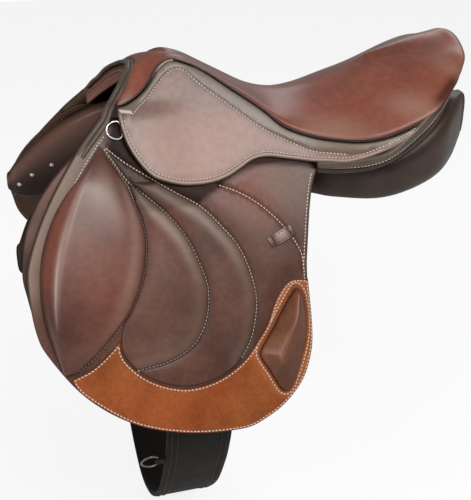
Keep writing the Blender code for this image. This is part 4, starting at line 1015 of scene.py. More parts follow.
def pommel_line():
    """The middle of the double welt on one side: up the flap's front edge and over to the centre."""
    low = curve(FLAP_EDGE[:4], 0.006)
    low = low[low[:, 1] > 0.020]
    low = low + left_of(low) * 0.0056
    rise = np.interp(run_of(low), (0.0, run_of(low)[-1]), (0.0022, -0.0012))
    side = np.stack([low[:, 0], half_width(low[:, 0], low[:, 1]) + rise, low[:, 1]], 1)[::-1]
    top = [(-0.2365, half_width(-0.2365, 0.0630) + 0.0010, 0.0630),
           (-0.2300, half_width(-0.230, 0.0700) - 0.0010, 0.0700),
           (-0.2185, 0.0515, 0.0838), (-0.2045, 0.0275, 0.0962), (-0.1988, 0.0, 0.1012)]
    return np.vstack([side, top])


# The lining's inner edge on one side: percent of the seat's length, place across and height
LINING_EDGE = ((-4.6, 0.0520, 0.0400), (-1.6, 0.0480, 0.0510), (1.4, 0.0380, 0.0630), (3.6, 0.0200, 0.0740),
               (4.6, 0.0, 0.0770))


def make_pommel():
    """The double welt and the lining under it with its seam."""
    path = catmull(both_sides(catmull(pommel_line(), 6)), 2)
    centre = np.array([seat_x(9.0), 0.0, 0.020])
    out = path - centre
    out[:, 0] *= 0.6
    way = np.gradient(path, axis=0)
    way = unit(way)
    out -= way * (out * way).sum(1)[:, None]
    out = unit(out)
    beside = np.cross(way, out)
    beside *= np.where(beside[:, 0] < 0, 1, -1)[:, None]
    for name, shift, wide in (("pommel_welt_front", 0.0027, 0.0031), ("pommel_welt_back", -0.0029, 0.0030)):
        points, faces = swept(path + beside * shift, out, oval(wide, 0.0025, 12))
        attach(piece_from(name, points, faces, LOOKS["binding"]), "saddle")
    inner = [(seat_x(a), y, z) for a, y, z in LINING_EDGE]
    low = spaced(both_sides(catmull(inner, 6)), count=61)
    arch = path[:, 2] > 0.0530
    high = spaced((path - out * 0.0015 - beside * 0.0010)[arch], count=61)
    t = np.linspace(0, 1, 9)[None, :, None]
    swell = np.sin(np.pi * t) * 0.0035
    ahead = np.cross(np.gradient(low, axis=0), high - low)
    ahead = unit(ahead)
    ahead *= np.where(ahead[:, 0] < 0, 1, -1)[:, None]
    top = low[:, None] * (1 - t) + high[:, None] * t + ahead[:, None] * swell
    m, n = top.shape[:2]
    flat = top.reshape(-1, 3)
    back = flat - np.repeat(ahead, n, axis=0) * 0.0026
    points, body = closed_shell(flat, back, between_rows(m, n))
    lining = piece_from("pommel_lining", points, body, LOOKS["lining"])
    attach(lining, "saddle")
    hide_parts("pommel_facing")
    seam = top[:, 4] + ahead * 0.0006
    points, faces = swept(seam, ahead, oval(0.0009, 0.0007, 8))
    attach(piece_from("pommel_lining_seam", points, faces, LOOKS["dark_thread"]), "saddle")


# Cantle

# Heights of the bands' edges: along the side by place, then round the cantle by degrees from the back
BAND_SIDE = ((0.004, -0.0045, -0.0140, -0.0192), (0.028, -0.0040, -0.0145, -0.0205),
             (0.060, 0.0010, -0.0110, -0.0165), (0.090, 0.0100, 0.0000, -0.0060))
BAND_ROUND = ((72, 0.0380, 0.0235, 0.0130), (60, 0.0590, 0.0440, 0.0340), (50, 0.0720, 0.0640, 0.0580),
              (40, 0.0795, 0.0760, 0.0720), (20, 0.0880, 0.0852, 0.0820), (0, 0.0890, 0.0862, 0.0828))
BAND_SET_IN = 0.0035


def cantle_rows():
    """Along the bands under the seat: places and outward ways, with the heights of the bands' edges."""
    rows = []
    for x, top, middle, low in BAND_SIDE:
        y = half_width(x, middle) - 0.0020
        rows.append((x, y, 0.25, 1.0, top, middle, low))
    for degrees, top, middle, low in BAND_ROUND:
        c, s = math.cos(math.radians(degrees)), math.sin(math.radians(degrees))
        rows.append((CANTLE_CENTRE + (CANTLE_DEPTH - BAND_SET_IN) * c, (CANTLE_HALF_WIDTH - BAND_SET_IN) * s,
                     c * CANTLE_HALF_WIDTH, s * CANTLE_DEPTH, top, middle, low))
    half = catmull(rows, 6)
    half[:, 2:4] = unit(half[:, 2:4])
    mirrored = half[::-1][1:] * (1, -1, 1, -1, 1, 1, 1)
    return np.vstack([half, mirrored])


def make_cantle(size):
    """Two rolled bands between the seat's edge and the panels."""
    rows = cantle_rows()
    normal = np.stack([rows[:, 2], rows[:, 3], np.zeros(len(rows))], 1)
    for name, high, low, deep, look in (("cantle_band_upper", 4, 5, 0.0045, "binding"),
                                        ("cantle_band_lower", 5, 6, 0.0030, "panel")):
        middle = (rows[:, high] + rows[:, low]) / 2
        half = (rows[:, high] - rows[:, low]) / 2
        path = np.stack([rows[:, 0], rows[:, 1], middle], 1) - normal * (0.0010 if low == 5 else 0.0022)
        shape = oval(1.0, 1.0, 16)
        shape[:, 0] = np.sign(shape[:, 0]) * abs(shape[:, 0]) ** 0.8
        sections = shape[None] * np.stack([half, np.full_like(half, deep)], 1)[:, None]
        points, faces = swept(path, normal, sections)
        band = piece_from(name, points, faces, LOOKS[look])
        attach(band, "saddle")
        if low == 5:
            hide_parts("cantle_facing")
        line = path + normal * deep * 0.72 + np.stack([0 * half, 0 * half, -half * 0.62], 1)
        points, faces = stitches(spaced(line, 0.003), spaced(normal, count=len(spaced(line, 0.003))), size)
        thread = piece_from(name + "_thread", points, faces,
                            LOOKS["thread" if low == 5 else "dark_thread"])
        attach(thread, "saddle")


# Skirts

# Distances from the skirt's lower edge to the crest of its bead and to the stitched groove
SKIRT_BEAD = 0.0024
SKIRT_GROOVE = 0.0052
BAND_INNER = np.array([
    (-0.2126, 0.0569), (-0.2039, 0.0627), (-0.1921, 0.0703), (-0.1808, 0.0806), (-0.1698, 0.0897),
    (-0.1583, 0.0968), (-0.1483, 0.0990), (-0.1397, 0.0958), (-0.1214, 0.0793), (-0.0898, 0.0564),
    (-0.0579, 0.0331), (-0.0244, 0.0158), (0.0000, 0.0060), (0.0202, 0.0040), (0.0500, 0.0045),
    (0.0943, 0.0150), (0.1286, 0.0290)])


def make_skirt(side, size):
    """The small flap with its sewn band, rolled lower edge and bar tack, as one bending sheet."""
    end = SIDE_NAME[side]
    outline = joined(SEAM, [SEAM[-1], SKIRT_LOW[0]], SKIRT_LOW)
    seam, low, band = curve(SEAM), curve(SKIRT_LOW), curve(BAND_INNER)
    flat, faces = filled(outline, SHEET_STEP, lines=[(band, (-0.0012, -0.0004, 0.0004, 0.0012)),
                                                 (low, (0.0040, 0.0048, 0.0056, -0.0040, -0.0048, -0.0056))])

    def relief(p):
        to_edge = nearest(p, outline, True)[0]
        to_low = nearest(p, low)[0]
        to_band, _, way = nearest(p, band)
        above = beyond(way * to_band, 0.0010)
        rise = above * (0.0011 + 0.0005 * bump(nearest(p, seam)[0], 0.0055, 0.0060))
        rise -= rounding(to_edge, EDGE_RADIUS, EDGE_RADIUS)
        rise += 0.0011 * bump(to_low, SKIRT_BEAD, 0.0024) - 0.0006 * bump(to_low, SKIRT_GROOVE, 0.0012)
        return rise - 0.0004 * bump(to_band, 0.0, 0.0012)

    def over(p):
        return on_side(p, skirt_lift(p[:, 0], p[:, 1]) + SKIRT_THICK, relief(p), side)

    def under(p):
        return on_side(p, skirt_lift(p[:, 0], p[:, 1]), 0.0, side)
    to_band, _, way = nearest(flat, band)
    to_edge = nearest(flat, outline, True)[0]
    to_low = nearest(flat, low)[0]
    middle = np.hypot((flat[:, 0] + 0.145) / 0.075, (flat[:, 1] - 0.020) / 0.050)
    # Painted highlight along the bead of the rolled lower edge
    values = {"dip": hill(to_band, 0.0, 0.0016) * 0.35 + hill(to_low, SKIRT_GROOVE, 0.0012) * 0.35,
              "tan": beyond(way * to_band, 0.0012), "warm": 1 - smooth_step((middle - 0.35) / 0.75),
              "rim": 0.75 * hill(to_edge, 0.0, 0.0012), "pale_and_highlight": 0.8 * hill(to_low, SKIRT_BEAD, 0.0018)}
    skirt = side_piece("skirt_leather_" + end, side, flat, faces, under, over, LOOKS["skirt"],
                       values)
    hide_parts("skirt_band_" + end, "skirt_" + end)
    bends(skirt, side, SKIRT_FOLD)
    edge = low - left_of(low) * SKIRT_GROOVE
    short = band[nearest(band, low)[0] > 0.0085]
    rows = [(edge[3:-2], over), (short, over)]
    thread = thread_on("skirt_thread_" + end, rows, side, LOOKS["thread"], size)
    bends(thread, side, SKIRT_FOLD)
    tack = np.array([(-0.2262, 0.0606), (-0.2120, 0.0588)])
    bold = SimpleNamespace(stitch_pitch=0.0016, stitch_length=0.0062, thread_radius=0.0008)
    line = spaced(tack, 0.001)
    normals = normals_on(over, line, side)
    points, body = stitches(over(line) + normals * 0.0003, normals, bold, 2.2)
    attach(piece_from("skirt_bar_tack_" + end, points, body, LOOKS["thread"]), "saddle")


# Flaps

# Bound front edge: distance from the edge, half width and height of its ridge, groove, roll and foot
FRONT_FORMS = ((0.0030, 0.0030, 0.0012), (0.0066, 0.0012, -0.0010), (0.0098, 0.0026, 0.0014),
               (0.0128, 0.0010, -0.0006))
FRONT_RIDGE = FRONT_FORMS[0][0]
FRONT_GROOVE = FRONT_FORMS[1][0]
FRONT_STITCHES = 0.0145


def make_flap(side, size):
    """The flap as one bending sheet of leather: double bound front edge, stitched arcs, slot for the bar."""
    end = SIDE_NAME[side]
    outline = joined(FLAP_EDGE, FLAP_TOP_EDGE)
    front, arcs = curve(FLAP_EDGE[:6]), [curve(a) for a in (INNER_ARC, OUTER_ARC, KEEPER_ARC)]
    knee = curve(KNEE_REAR)
    low = curve(SKIRT_LOW)
    whole = curve(FLAP_EDGE)
    patch_top = curve(PATCH_TOP[3:])
    behind = flap_points([(70, 85), (92, 85), (99, 50), (106, 10), (60, -12), (34, -12)])
    rear_zone = np.vstack([arcs[1], behind])
    groove = (-0.0016, -0.0008, 0.0, 0.0008, 0.0016)
    flat, faces = filled(outline, 0.0045, lines=[(arc, groove) for arc in arcs] + [
        (front, (-0.0045, -0.0060, -0.0075, -0.0090, -0.0105, -0.0122, -0.0140))], hole=BAR_WINDOW)
    front_end = run_of(front)[-1]

    def front_of(p):
        """Distance to the front edge, and how far its binding goes on there."""
        to_front, along, _ = nearest(p, front)
        return to_front, 1 - smooth_step((along - front_end + 0.050) / 0.045)

    def relief(p):
        to_edge = nearest(p, outline, True)[0]
        to_front, bound = front_of(p)
        to_arcs = to_any(p, arcs)
        swell = to_any(p, (*arcs, patch_top, knee))
        to_low, _, way = nearest(p, low)
        clear = np.where(way > 0, smooth_step(to_low / 0.012), 0.0)
        rise = 0.0018 * (1 - hill(swell, 0.0, 0.011)) * inside(p, rear_zone) * clear
        rise -= rounding(to_edge, EDGE_RADIUS, EDGE_RADIUS)
        rise -= 0.0007 * bump(to_arcs, 0.0, 0.0016)
        return rise + bound * sum(high * bump(to_front, at, half) for at, half, high in FRONT_FORMS)

    def over(p):
        return on_side(p, 0.0, relief(p), side)

    to_edge = nearest(flat, outline, True)[0]
    to_front, bound = front_of(flat)
    to_arcs = to_any(flat, arcs)
    redder = np.hypot((flat[:, 0] + 0.062) / 0.060, (flat[:, 1] + 0.035) / 0.045)
    # Painted highlight on the front binding's ridge; painted shadow of the skirt from shade_at
    values = {"dip": hill(to_arcs, 0.0, 0.0018) * 0.45 + bound * hill(to_front, FRONT_GROOVE, 0.0012),
              "shade": shade_at(flat), "rim": 0.8 * hill(to_edge, 0.0, 0.0011),
              "pale_and_highlight": bound * 0.9 * hill(to_front, FRONT_RIDGE, 0.0024),
              "warm": 1 - smooth_step((redder - 0.3) / 0.9),
              "tan": (0.55 * smooth_step((flat[:, 1] + 0.105) / 0.060)
                      * smooth_step((flat[:, 0] + 0.085) / 0.040))}
    flap = side_piece("flap_leather_" + end, side, flat, faces, layer(-FLAP_THICK, side), over, LOOKS["flap"],
                      values)
    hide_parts("flap_top_" + end, "flap_" + end)
    bends(flap, side, FLAP_FOLD)
    inner = whole + left_of(whole) * STITCH_INSET
    wide_front = front + left_of(front) * FRONT_STITCHES
    past = int(len(inner) * 0.36)
    rows = [(line, over) for line in (*arcs, inner[past:-3], wide_front[2:], knee[4:-4])]
    thread = thread_on("flap_thread_" + end, rows, side, LOOKS["thread"], size)
    bends(thread, side, FLAP_FOLD)


def make_padding(side, size):
    """The knee pad and the two crescents: soft leather pillows sewn to the flap."""
    end = SIDE_NAME[side]
    rows, columns = 84, 40
    front, rear = curve(KNEE_FRONT, count=rows), curve(KNEE_REAR, count=rows)
    s = np.linspace(0, 1, columns)
    flat = (front[:, None] * (1 - s)[None, :, None] + rear[:, None] * s[None, :, None]).reshape(-1, 2)
    t = np.repeat(np.linspace(0, 1, rows), columns)
    across = np.tile(s, rows)
    front_rise = np.sin(np.pi / 2 * clip(across / 0.20)) ** 0.9
    rise_f = front_rise * (1 - 0.50 * clip((across - 0.18) / 0.82) ** 1.2) * np.sqrt(1 - across ** 9)
    rise_t = np.sin(np.pi / 2 * clip(t / 0.26)) * (1 - 0.72 * smooth_step((t - 0.78) / 0.22))
    rise = 0.0012 + (size.knee_pad_height - 0.0012) * rise_f * rise_t
    faces = [f[::-side] for f in between_rows(rows, columns)]
    points, body = closed_shell(on_side(flat, SEAT_GAP, rise, side), layer(GLUE_GAP, side)(flat), faces)
    ends = np.minimum(across, 1 - across) * 0.10
    dip = hill(ends, 0.0, 0.0022) * 0.6
    # Painted shade on the pad's lower part and along its front strip
    low_part = smooth_step((t - 0.55) / 0.45) * 0.55 + smooth_step((0.05 - across) / 0.05) * 0.30
    warm = hill(across, 0.08, 0.06) * smooth_step((t - 0.12) / 0.1) * smooth_step((0.75 - t) / 0.2)
    # Painted highlights along the ridge, on the top and inside the rear edge
    sheen = 0.75 * hill(across, 0.17, 0.035) * smooth_step((t - 0.10) / 0.12)
    sheen *= smooth_step((0.86 - t) / 0.25)
    sheen += 0.55 * hill(across, 0.50, 0.26) * hill(t, 0.21, 0.10)
    sheen += 0.42 * hill(across, 0.88, 0.060) * smooth_step((t - 0.12) / 0.12) * smooth_step((0.80 - t) / 0.3)
    values = on_both({"dip": dip, "shade": clip(low_part) * 0.75, "warm": warm, "pale_and_highlight": sheen})
    pad = piece_from("knee_pad_leather_" + end, points, body, LOOKS["pad"], values)
    weld(pad)
    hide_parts("knee_pad_" + end)
    bends(pad, side, FLAP_FOLD)
    for name, within, floor, outside in (
            ("inner_crescent", KNEE_REAR[2:8], PATCH_TOP[4:6], INNER_ARC[1:]),
            ("outer_crescent", INNER_ARC[1:], PATCH_TOP[7:12], OUTER_ARC[2:])):
        base = np.vstack([within[-1:], floor + (0, 0.0012), outside[-1:]])
        outline = inset(joined(within, base, outside[::-1]), 0.0007)
        flat, faces = filled(outline, SHEET_STEP)
        outer_line = curve(outside)

        def over(p, outline=outline, outer_line=outer_line):
            share = clip(nearest(p, outline, True)[0] / 0.015)
            ridge = hill(nearest(p, outer_line)[0], 0.012, 0.012)
            dome = np.sqrt(1 - (1 - share) ** 2)
            rise = (size.crescent_height - 0.0008) * dome * (0.62 + 0.38 * ridge)
            return on_side(p, SEAT_GAP, 0.0008 + rise, side)

        to_edge = nearest(flat, outline, True)[0]
        # Painted highlights beside the outer arc, and the skirt's painted shadow
        values = {"dip": hill(to_edge, 0.0, 0.0022) * 0.5,
                  "pale_and_highlight": hill(nearest(flat, outer_line)[0], 0.008, 0.007)
                  * (0.22 + 0.40 * smooth_step((flat[:, 1] + 0.130) / 0.070)),
                  "shade": 0.85 * shade_at(flat)}
        piece = side_piece(name + "_leather_" + end, side, flat, faces, layer(GLUE_GAP, side), over,
                           LOOKS["flap"], values)
        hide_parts(name + "_" + end)
        bends(piece, side, FLAP_FOLD)


def shade_at(flat):
    """How deep the flap lies in the skirt's shade: 0 in the open, 1 close under the skirt."""
    to_shade, _, way = nearest(flat, curve(SHADED_LINE))
    under = beyond(way * to_shade, 0.0030)
    left = DARK_FRONT[0] + (flat[:, 1] - DARK_FRONT[1]) * DARK_FRONT[2]
    under *= smooth_step((flat[:, 0] - left) / 0.0030 + 0.5)
    to_arc, _, way = nearest(flat, curve(OUTER_ARC))
    deep = 0.50 + 0.50 * beyond(way * to_arc, 0.0040)
    return under * deep


def weld(piece):
    """Joins points that lie on each other and drops faces with no area."""
    bm = bmesh.new()
    bm.from_mesh(piece.data)
    bmesh.ops.remove_doubles(bm, verts=bm.verts[:], dist=2e-5)
    bmesh.ops.dissolve_degenerate(bm, edges=bm.edges[:], dist=1e-6)
    bm.to_mesh(piece.data)
    bm.free()
    piece.data.shade_smooth()


def make_patch(side, size):
    """The grained wear patch, the calf block and the keeper on the flap."""
    end = SIDE_NAME[side]
    low_edge = np.vstack([PATCH_TOP[:1], FLAP_EDGE[7:17]])
    outline = inset(joined(PATCH_TOP[:4], PATCH_TOP[3:], low_edge[::-1]), 0.0006)
    calf = counter_clockwise(spaced(catmull(CALF_LINE, 6, closed=True), 0.0025, closed=True))
    round_calf = np.vstack([calf, calf[:1]])
    flat, faces = filled(outline, SHEET_STEP, lines=[(round_calf, (-0.0015, -0.003, -0.0045, -0.006))])

    def relief(p):
        to_edge = nearest(p, outline, True)[0]
        to_calf = nearest(p, calf, True)[0]
        border = np.where(inside(p, calf), 0.0, 0.0011 * bump(to_calf, 0.0042, 0.0036))
        return (PATCH_THICK - rounding(to_edge, 0.0018, 0.0016) + border
                - 0.0004 * bump(to_edge, 0.0022, 0.0010))

    def over(p):
        return on_side(p, SEAT_GAP, relief(p), side)

    to_edge = nearest(flat, outline, True)[0]
    to_calf = nearest(flat, calf, True)[0]
    values = {"rim": 0.6 * hill(to_edge, 0.0, 0.0010), "dip": 0.8 * hill(to_calf, 0.0, 0.0022),
              "pale_and_highlight": 0.6 * smooth_step((0.014 - to_calf) / 0.010)}
    patch = side_piece("wear_patch_leather_" + end, side, flat, faces, layer(GLUE_GAP, side), over,
                       LOOKS["tan"], values)
    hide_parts("wear_patch_" + end)
    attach(patch, "flap_" + end)
    near = inset(outline, 0.0022)
    around = calf - left_of(calf, closed=True) * 0.0042
    keep = inside(around, near)
    first = int(np.flatnonzero(keep & ~np.roll(keep, 1))[0]) if not keep.all() else 0
    around, keep = np.roll(around, -first, axis=0), np.roll(keep, -first)
    around = around[:int(np.flatnonzero(~keep)[0])] if not keep.all() else around
    rows = [(np.vstack([near, near[:1]]), over), (around, over)]
    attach(thread_on("wear_patch_thread_" + end, rows, side, LOOKS["thread"], size), "flap_" + end)
    ridge = curve(CALF_RIDGE)
    flat, faces = filled(calf, 0.0028, rows=(0.0006, 0.0013, 0.0022))

    def facets(p):
        away = nearest(p, ridge)[0]
        away = np.sqrt(away ** 2 + 0.0018 ** 2) - 0.0018
        to_edge = nearest(p, calf, True)[0]
        share = to_edge / (to_edge + away + 1e-6)
        round_edge = np.sqrt(1 - (1 - clip(to_edge / 0.0020)) ** 2)
        fade = 0.55 + 0.45 * smooth_step((-0.128 - p[:, 1]) / 0.050)
        height = 0.0006 + 0.0026 * round_edge + (size.calf_block_height - 0.0032) * share * fade
        return on_side(p, 2 * SEAT_GAP + PATCH_THICK, height, side)

    to_edge = nearest(flat, calf, True)[0]
    away, _, way = nearest(flat, ridge)
    # Painted highlight on the ridge, painted shade on the facet past it
    values = {"dip": hill(to_edge, 0.0, 0.0014), "pale_and_highlight": 0.7 * hill(away, 0.0, 0.0022),
              "shade": 0.35 * beyond(way * away, 0.004)}
    seated = layer(2 * SEAT_GAP + PATCH_THICK * 0.9, side)
    block = side_piece("calf_block_leather_" + end, side, flat, faces, seated, facets, LOOKS["block"],
                       values)
    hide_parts("calf_block_" + end)
    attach(block, "flap_" + end)
    make_keeper(side, size)


def frame_at(x, z, rise, side, turn):
    """Along, up the slope and outwards on the side surface, and the place itself."""
    flat = np.array([(x, z)])
    place = on_side(flat, 0.0, rise, side)[0]
    out = normals_on(layer(0.0, side), flat, side)[0]
    along = np.array([1.0, 0.0, 0.0])
    along -= out * (along @ out)
    along = unit(along)
    up = np.cross(out, along) * -side
    c, s = math.cos(turn), math.sin(turn)
    return place, along * c + up * s, up * c - along * s, out


KEEPER_PLACE = (84.5, 41.1)


def make_keeper(side, size):
    """The keeper: a folded leather loop over the stitched arc."""
    end = SIDE_NAME[side]
    (x, z), = flap_points([KEEPER_PLACE])
    place, along, up, out = frame_at(x, z, 0.0003, side, math.radians(24))
    half, foot, wide, thick, high = 0.0125, 0.0050, 0.0140, 0.0024, 0.0058
    arch = [(-half - foot, thick * 0.4), (-half - foot * 0.4, thick * 0.45)]
    for k in range(15):
        angle = math.pi * k / 14
        arch.append((-(half - 0.0015) * math.cos(angle),
                     thick / 2 + (high - thick) * math.sin(angle) ** 0.55))
    arch += [(half + foot * 0.4, thick * 0.45), (half + foot, thick * 0.4)]
    arch = catmull(arch, 3)
    path = place + along * arch[:, :1] + out * arch[:, 1:]
    way = np.gradient(arch, axis=0)
    normal = -way[:, 1:] * along + way[:, :1] * out
    points, faces = swept(path, normal, soft_box(wide, thick, 0.0009))
    # Painted highlight on the top of the loop
    keeper = piece_from("keeper_leather_" + end, points, faces, LOOKS["pad"], {
        "pale_and_highlight": np.repeat(0.8 * smooth_step((arch[:, 1] - 0.003) / 0.002), 16)})
    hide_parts("keeper_" + end)
    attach(keeper, "flap_" + end)
    rows = []
    for edge in (-1, 1):
        line = path + up * edge * (wide / 2 - 0.0022) + unit(normal) * thick / 2
        rows.append(stitches(line[2:-2], normal[2:-2], size))
    points, faces = gathered(rows)
    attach(piece_from("keeper_thread_" + end, points, faces, LOOKS["dark_thread"]), "flap_" + end)


# Panels and sweat flaps

PANEL_FRONT = [
    (-1.0, -0.066, 0.010, -0.098, 0.012), (3.0, -0.042, 0.020, -0.108, 0.022),
    (11.0, -0.010, 0.026, -0.112, 0.028), (21.0, 0.019, 0.028, -0.108, 0.030),
    (32.0, 0.040, 0.028, -0.100, 0.030), (42.0, 0.046, 0.028, -0.090, 0.030),
    (57.0, 0.044, 0.026, -0.078, 0.030), (72.0, 0.028, 0.024, -0.064, 0.032)]
PANEL_REAR = [
    (46.0, 0.034, 0.010, 0.083, 0.006, 0.110, -0.060, 0.046, -0.014),
    (56.0, 0.034, 0.008, 0.112, -0.012, 0.117, -0.067, 0.048, -0.020),
    (68.0, 0.034, 0.012, 0.128, -0.012, 0.122, -0.074, 0.050, -0.026),
    (78.0, 0.034, 0.022, 0.126, 0.000, 0.118, -0.070, 0.050, -0.026),
    (88.0, 0.032, 0.034, 0.112, 0.026, 0.104, -0.058, 0.046, -0.022),
    (95.0, 0.030, 0.046, 0.083, 0.044, 0.080, -0.042, 0.040, -0.014),
    (100.5, 0.028, 0.046, 0.054, 0.045, 0.053, -0.016, 0.032, 0.000)]
PANEL_COUNT = 48
PANEL_SEAMS = (41, 29)
# Studs on the inner face of each panel's front: place and outward way
STUDS = (((-0.2991, 0.0882, -0.0516), (-0.08, -0.85, -0.52)),
         ((-0.3259, 0.1010, -0.0678), (-0.11, -0.85, -0.51)),
         ((-0.3440, 0.1150, -0.0850), (-0.30, -0.80, -0.50)))
STUD_RADIUS = 0.0032
STUD_HEIGHT = 0.0016
STUD_SIDES = 14
STUD_LEVELS = ((STUD_RADIUS, -STUD_HEIGHT * 0.3), (STUD_RADIUS, 0.0),
               (STUD_RADIUS * 0.86, STUD_HEIGHT * 0.62), (STUD_RADIUS * 0.5, STUD_HEIGHT))


def panel_section(corners, outer):
    """A ring of points round a panel's cross section, rounded between its four corners."""
    ring = []
    for k in range(PANEL_COUNT):
        angle = 2 * math.pi * (k + 0.5) / PANEL_COUNT
        c, s = math.cos(angle), math.sin(angle)
        reach = (abs(c) ** 4.0 + abs(s) ** 4.0) ** -0.25
        a, b = 0.5 + 0.5 * reach * c, 0.5 - 0.5 * reach * s
        (y0, z0), (y1, z1), (y2, z2), (y3, z3) = corners
        inner = np.array([y0 + (y3 - y0) * b, z0 + (z3 - z0) * b])
        far = np.array([y1 + (y2 - y1) * b, z1 + (z2 - z1) * b])
        if outer:
            far[0] = outer(far[1])
        ring.append(inner * (1 - a) + far * a)
    return np.array(ring)


def make_panel(side, size):
    """The flocked cushion with its seams and studs."""
    end = SIDE_NAME[side]
    rings = []
    for u, top, top_thick, low, low_thick in PANEL_FRONT:
        x = FLAP_FRONT + FLAP_WIDTH * u / 100

        def outer(z, x=x):
            return half_width(x, z) - FLAP_THICK - side_room(z) - SWEAT_THICK - PANEL_GAP
        corners = [(outer(top) - top_thick, top - 0.012), (outer(top), top), (outer(low), low),
                   (outer(low) - low_thick, low - 0.004)]
        rings.append(np.column_stack([np.full(PANEL_COUNT, x), panel_section(corners, outer)]))
    for a, *corners in PANEL_REAR:
        ring = panel_section(np.array(corners).reshape(4, 2), None)
        rings.append(np.column_stack([np.full(PANEL_COUNT, seat_x(a)), ring]))
    rings = np.array(rings)
    lined = np.array([catmull(rings[:, k], 5) for k in range(PANEL_COUNT)]).transpose(1, 0, 2)
    caps = []
    for ring, way in ((lined[0], -1), (lined[-1], 1)):
        centre = ring.mean(0)
        caps.append([centre + (ring - centre) * share + (way * reach, 0, 0)
                     for share, reach in ((0.93, 0.0020), (0.75, 0.0036), (0.40, 0.0044))])
    lined = np.concatenate([np.array(caps[0][::-1]), lined, np.array(caps[1])])
    lined = lined * (1, side, 1)
    m, n = lined.shape[:2]
    faces = [f[::side] for f in between_rows(m, n, True) + end_caps(m, n)]
    points = lined.reshape(-1, 3)
    turn = np.tile(np.arange(n), m)
    near_seam = np.minimum.reduce([abs(turn - seam - 0.5) for seam in PANEL_SEAMS])
    fore = smooth_step((-0.195 - points[:, 0]) / 0.06)
    # Painted light on the panels' fronts: a lit band round ring 16 with a painted redder highlight, painted
    # shade below it
    roll = hill(turn, 16.0, 5.5)
    values = {"dip": 0.55 * hill(near_seam, 0.0, 0.8), "pale_and_highlight": 0.35 * roll * fore,
              "tan": fore * (0.15 + 0.85 * roll), "shade": fore * (1 - roll) * 0.85}
    panel = piece_from("panel_cushion_" + end, points, faces, LOOKS["panel"], values)
    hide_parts("panel_" + end)
    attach(panel, "saddle")
    middle = lined.mean(1)[:, None]
    parts = []
    for column in PANEL_SEAMS:
        line = lined[3:-3, column]
        out = line - middle[3:-3, 0]
        parts.append(swept(line, out, oval(0.0010, 0.0008, 8)))
    points, faces = gathered(parts)
    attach(piece_from("panel_seams_" + end, points, faces, LOOKS["welt"]), "saddle")
    studs = []
    for place, normal in STUDS:
        out = Vector(normal).normalized()
        place = Vector(place) - out * 0.0004
        across = out.orthogonal().normalized()
        other = out.cross(across)
        ring = []
        for reach, high in STUD_LEVELS:
            for k in range(STUD_SIDES):
                angle = 2 * math.pi * k / STUD_SIDES
                p = place + across * reach * math.cos(angle) + other * reach * math.sin(angle) + out * high
                ring.append((p.x, p.y, p.z))
        body = between_rows(len(STUD_LEVELS), STUD_SIDES, True) + end_caps(len(STUD_LEVELS), STUD_SIDES)
        studs.append((np.array(ring) * (1, side, 1), [f[::side] for f in body]))
    points, faces = gathered(studs)
    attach(piece_from("panel_studs_" + end, points, faces, LOOKS["steel"], sharp=50), "saddle")


def make_sweat_flap(side, size):
    """The thin flap under the girth straps."""
    end = SIDE_NAME[side]
    outline = counter_clockwise(spaced(catmull(SWEAT_EDGE, 8, closed=True), 0.003, closed=True))
    flat, faces = filled(outline, 0.0060)

    def rounded(p):
        return rounding(nearest(p, outline, True)[0], 0.0018, 0.0013)

    def over(p):
        return on_side(p, -FLAP_THICK - side_room(p[:, 1]), -rounded(p), side)

    def under(p):
        return on_side(p, -FLAP_THICK - side_room(p[:, 1]) - SWEAT_THICK, rounded(p), side)
    to_edge = nearest(flat, outline, True)[0]
    low_part = smooth_step((-0.055 - flat[:, 1]) / 0.030)
    # Painted shade on the lower part
    values = {"rim": 0.8 * hill(to_edge, 0.0, 0.0011), "tan": 0.3 + 0.7 * low_part, "shade": 0.35 * low_part}
    piece = side_piece("sweat_flap_leather_" + end, side, flat, faces, under, over, LOOKS["lining"],
                       values)
    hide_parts("sweat_flap_" + end)
    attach(piece, "saddle")
    line = inset(outline, STITCH_INSET)
    line = np.vstack([line, line[:1]])
    points, body = stitches(under(line), -normals_on(under, line, side), size)
    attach(piece_from("sweat_flap_thread_" + end, points, body, LOOKS["dark_thread"]), "saddle")


# Girth

def girth_share():
    """How square the side surface stands to the saddle's width, where the girth's ends lie."""
    flat = np.array([(GIRTH_X, -0.125)])
    return abs(normals_on(layer(0.0, RIGHT), flat, RIGHT)[0, 1])


def girth_line():
    """The middle of the girth, from one end under the flap round to the other."""
    heights = np.array([-0.100, -0.140, -0.180, -0.215, -0.245])
    y = (half_width(GIRTH_X, heights) - FLAP_THICK - ROOM_LOW + GIRTH_GAP + GIRTH_THICK / 2 / girth_share())
    under = [(GIRTH_X, -a, z) for a, z in zip(y, heights)]
    free = [(0.2330, -0.282), (0.2210, -0.322), (0.1960, -0.372), (0.1520, -0.436), (0.0820, -0.496),
            (0.0, -0.522)]
    half = np.array(under + [(GIRTH_X, -a, z) for a, z in free])
    return catmull(np.vstack([half, half[::-1][1:] * (1, -1, 1)]), 8)


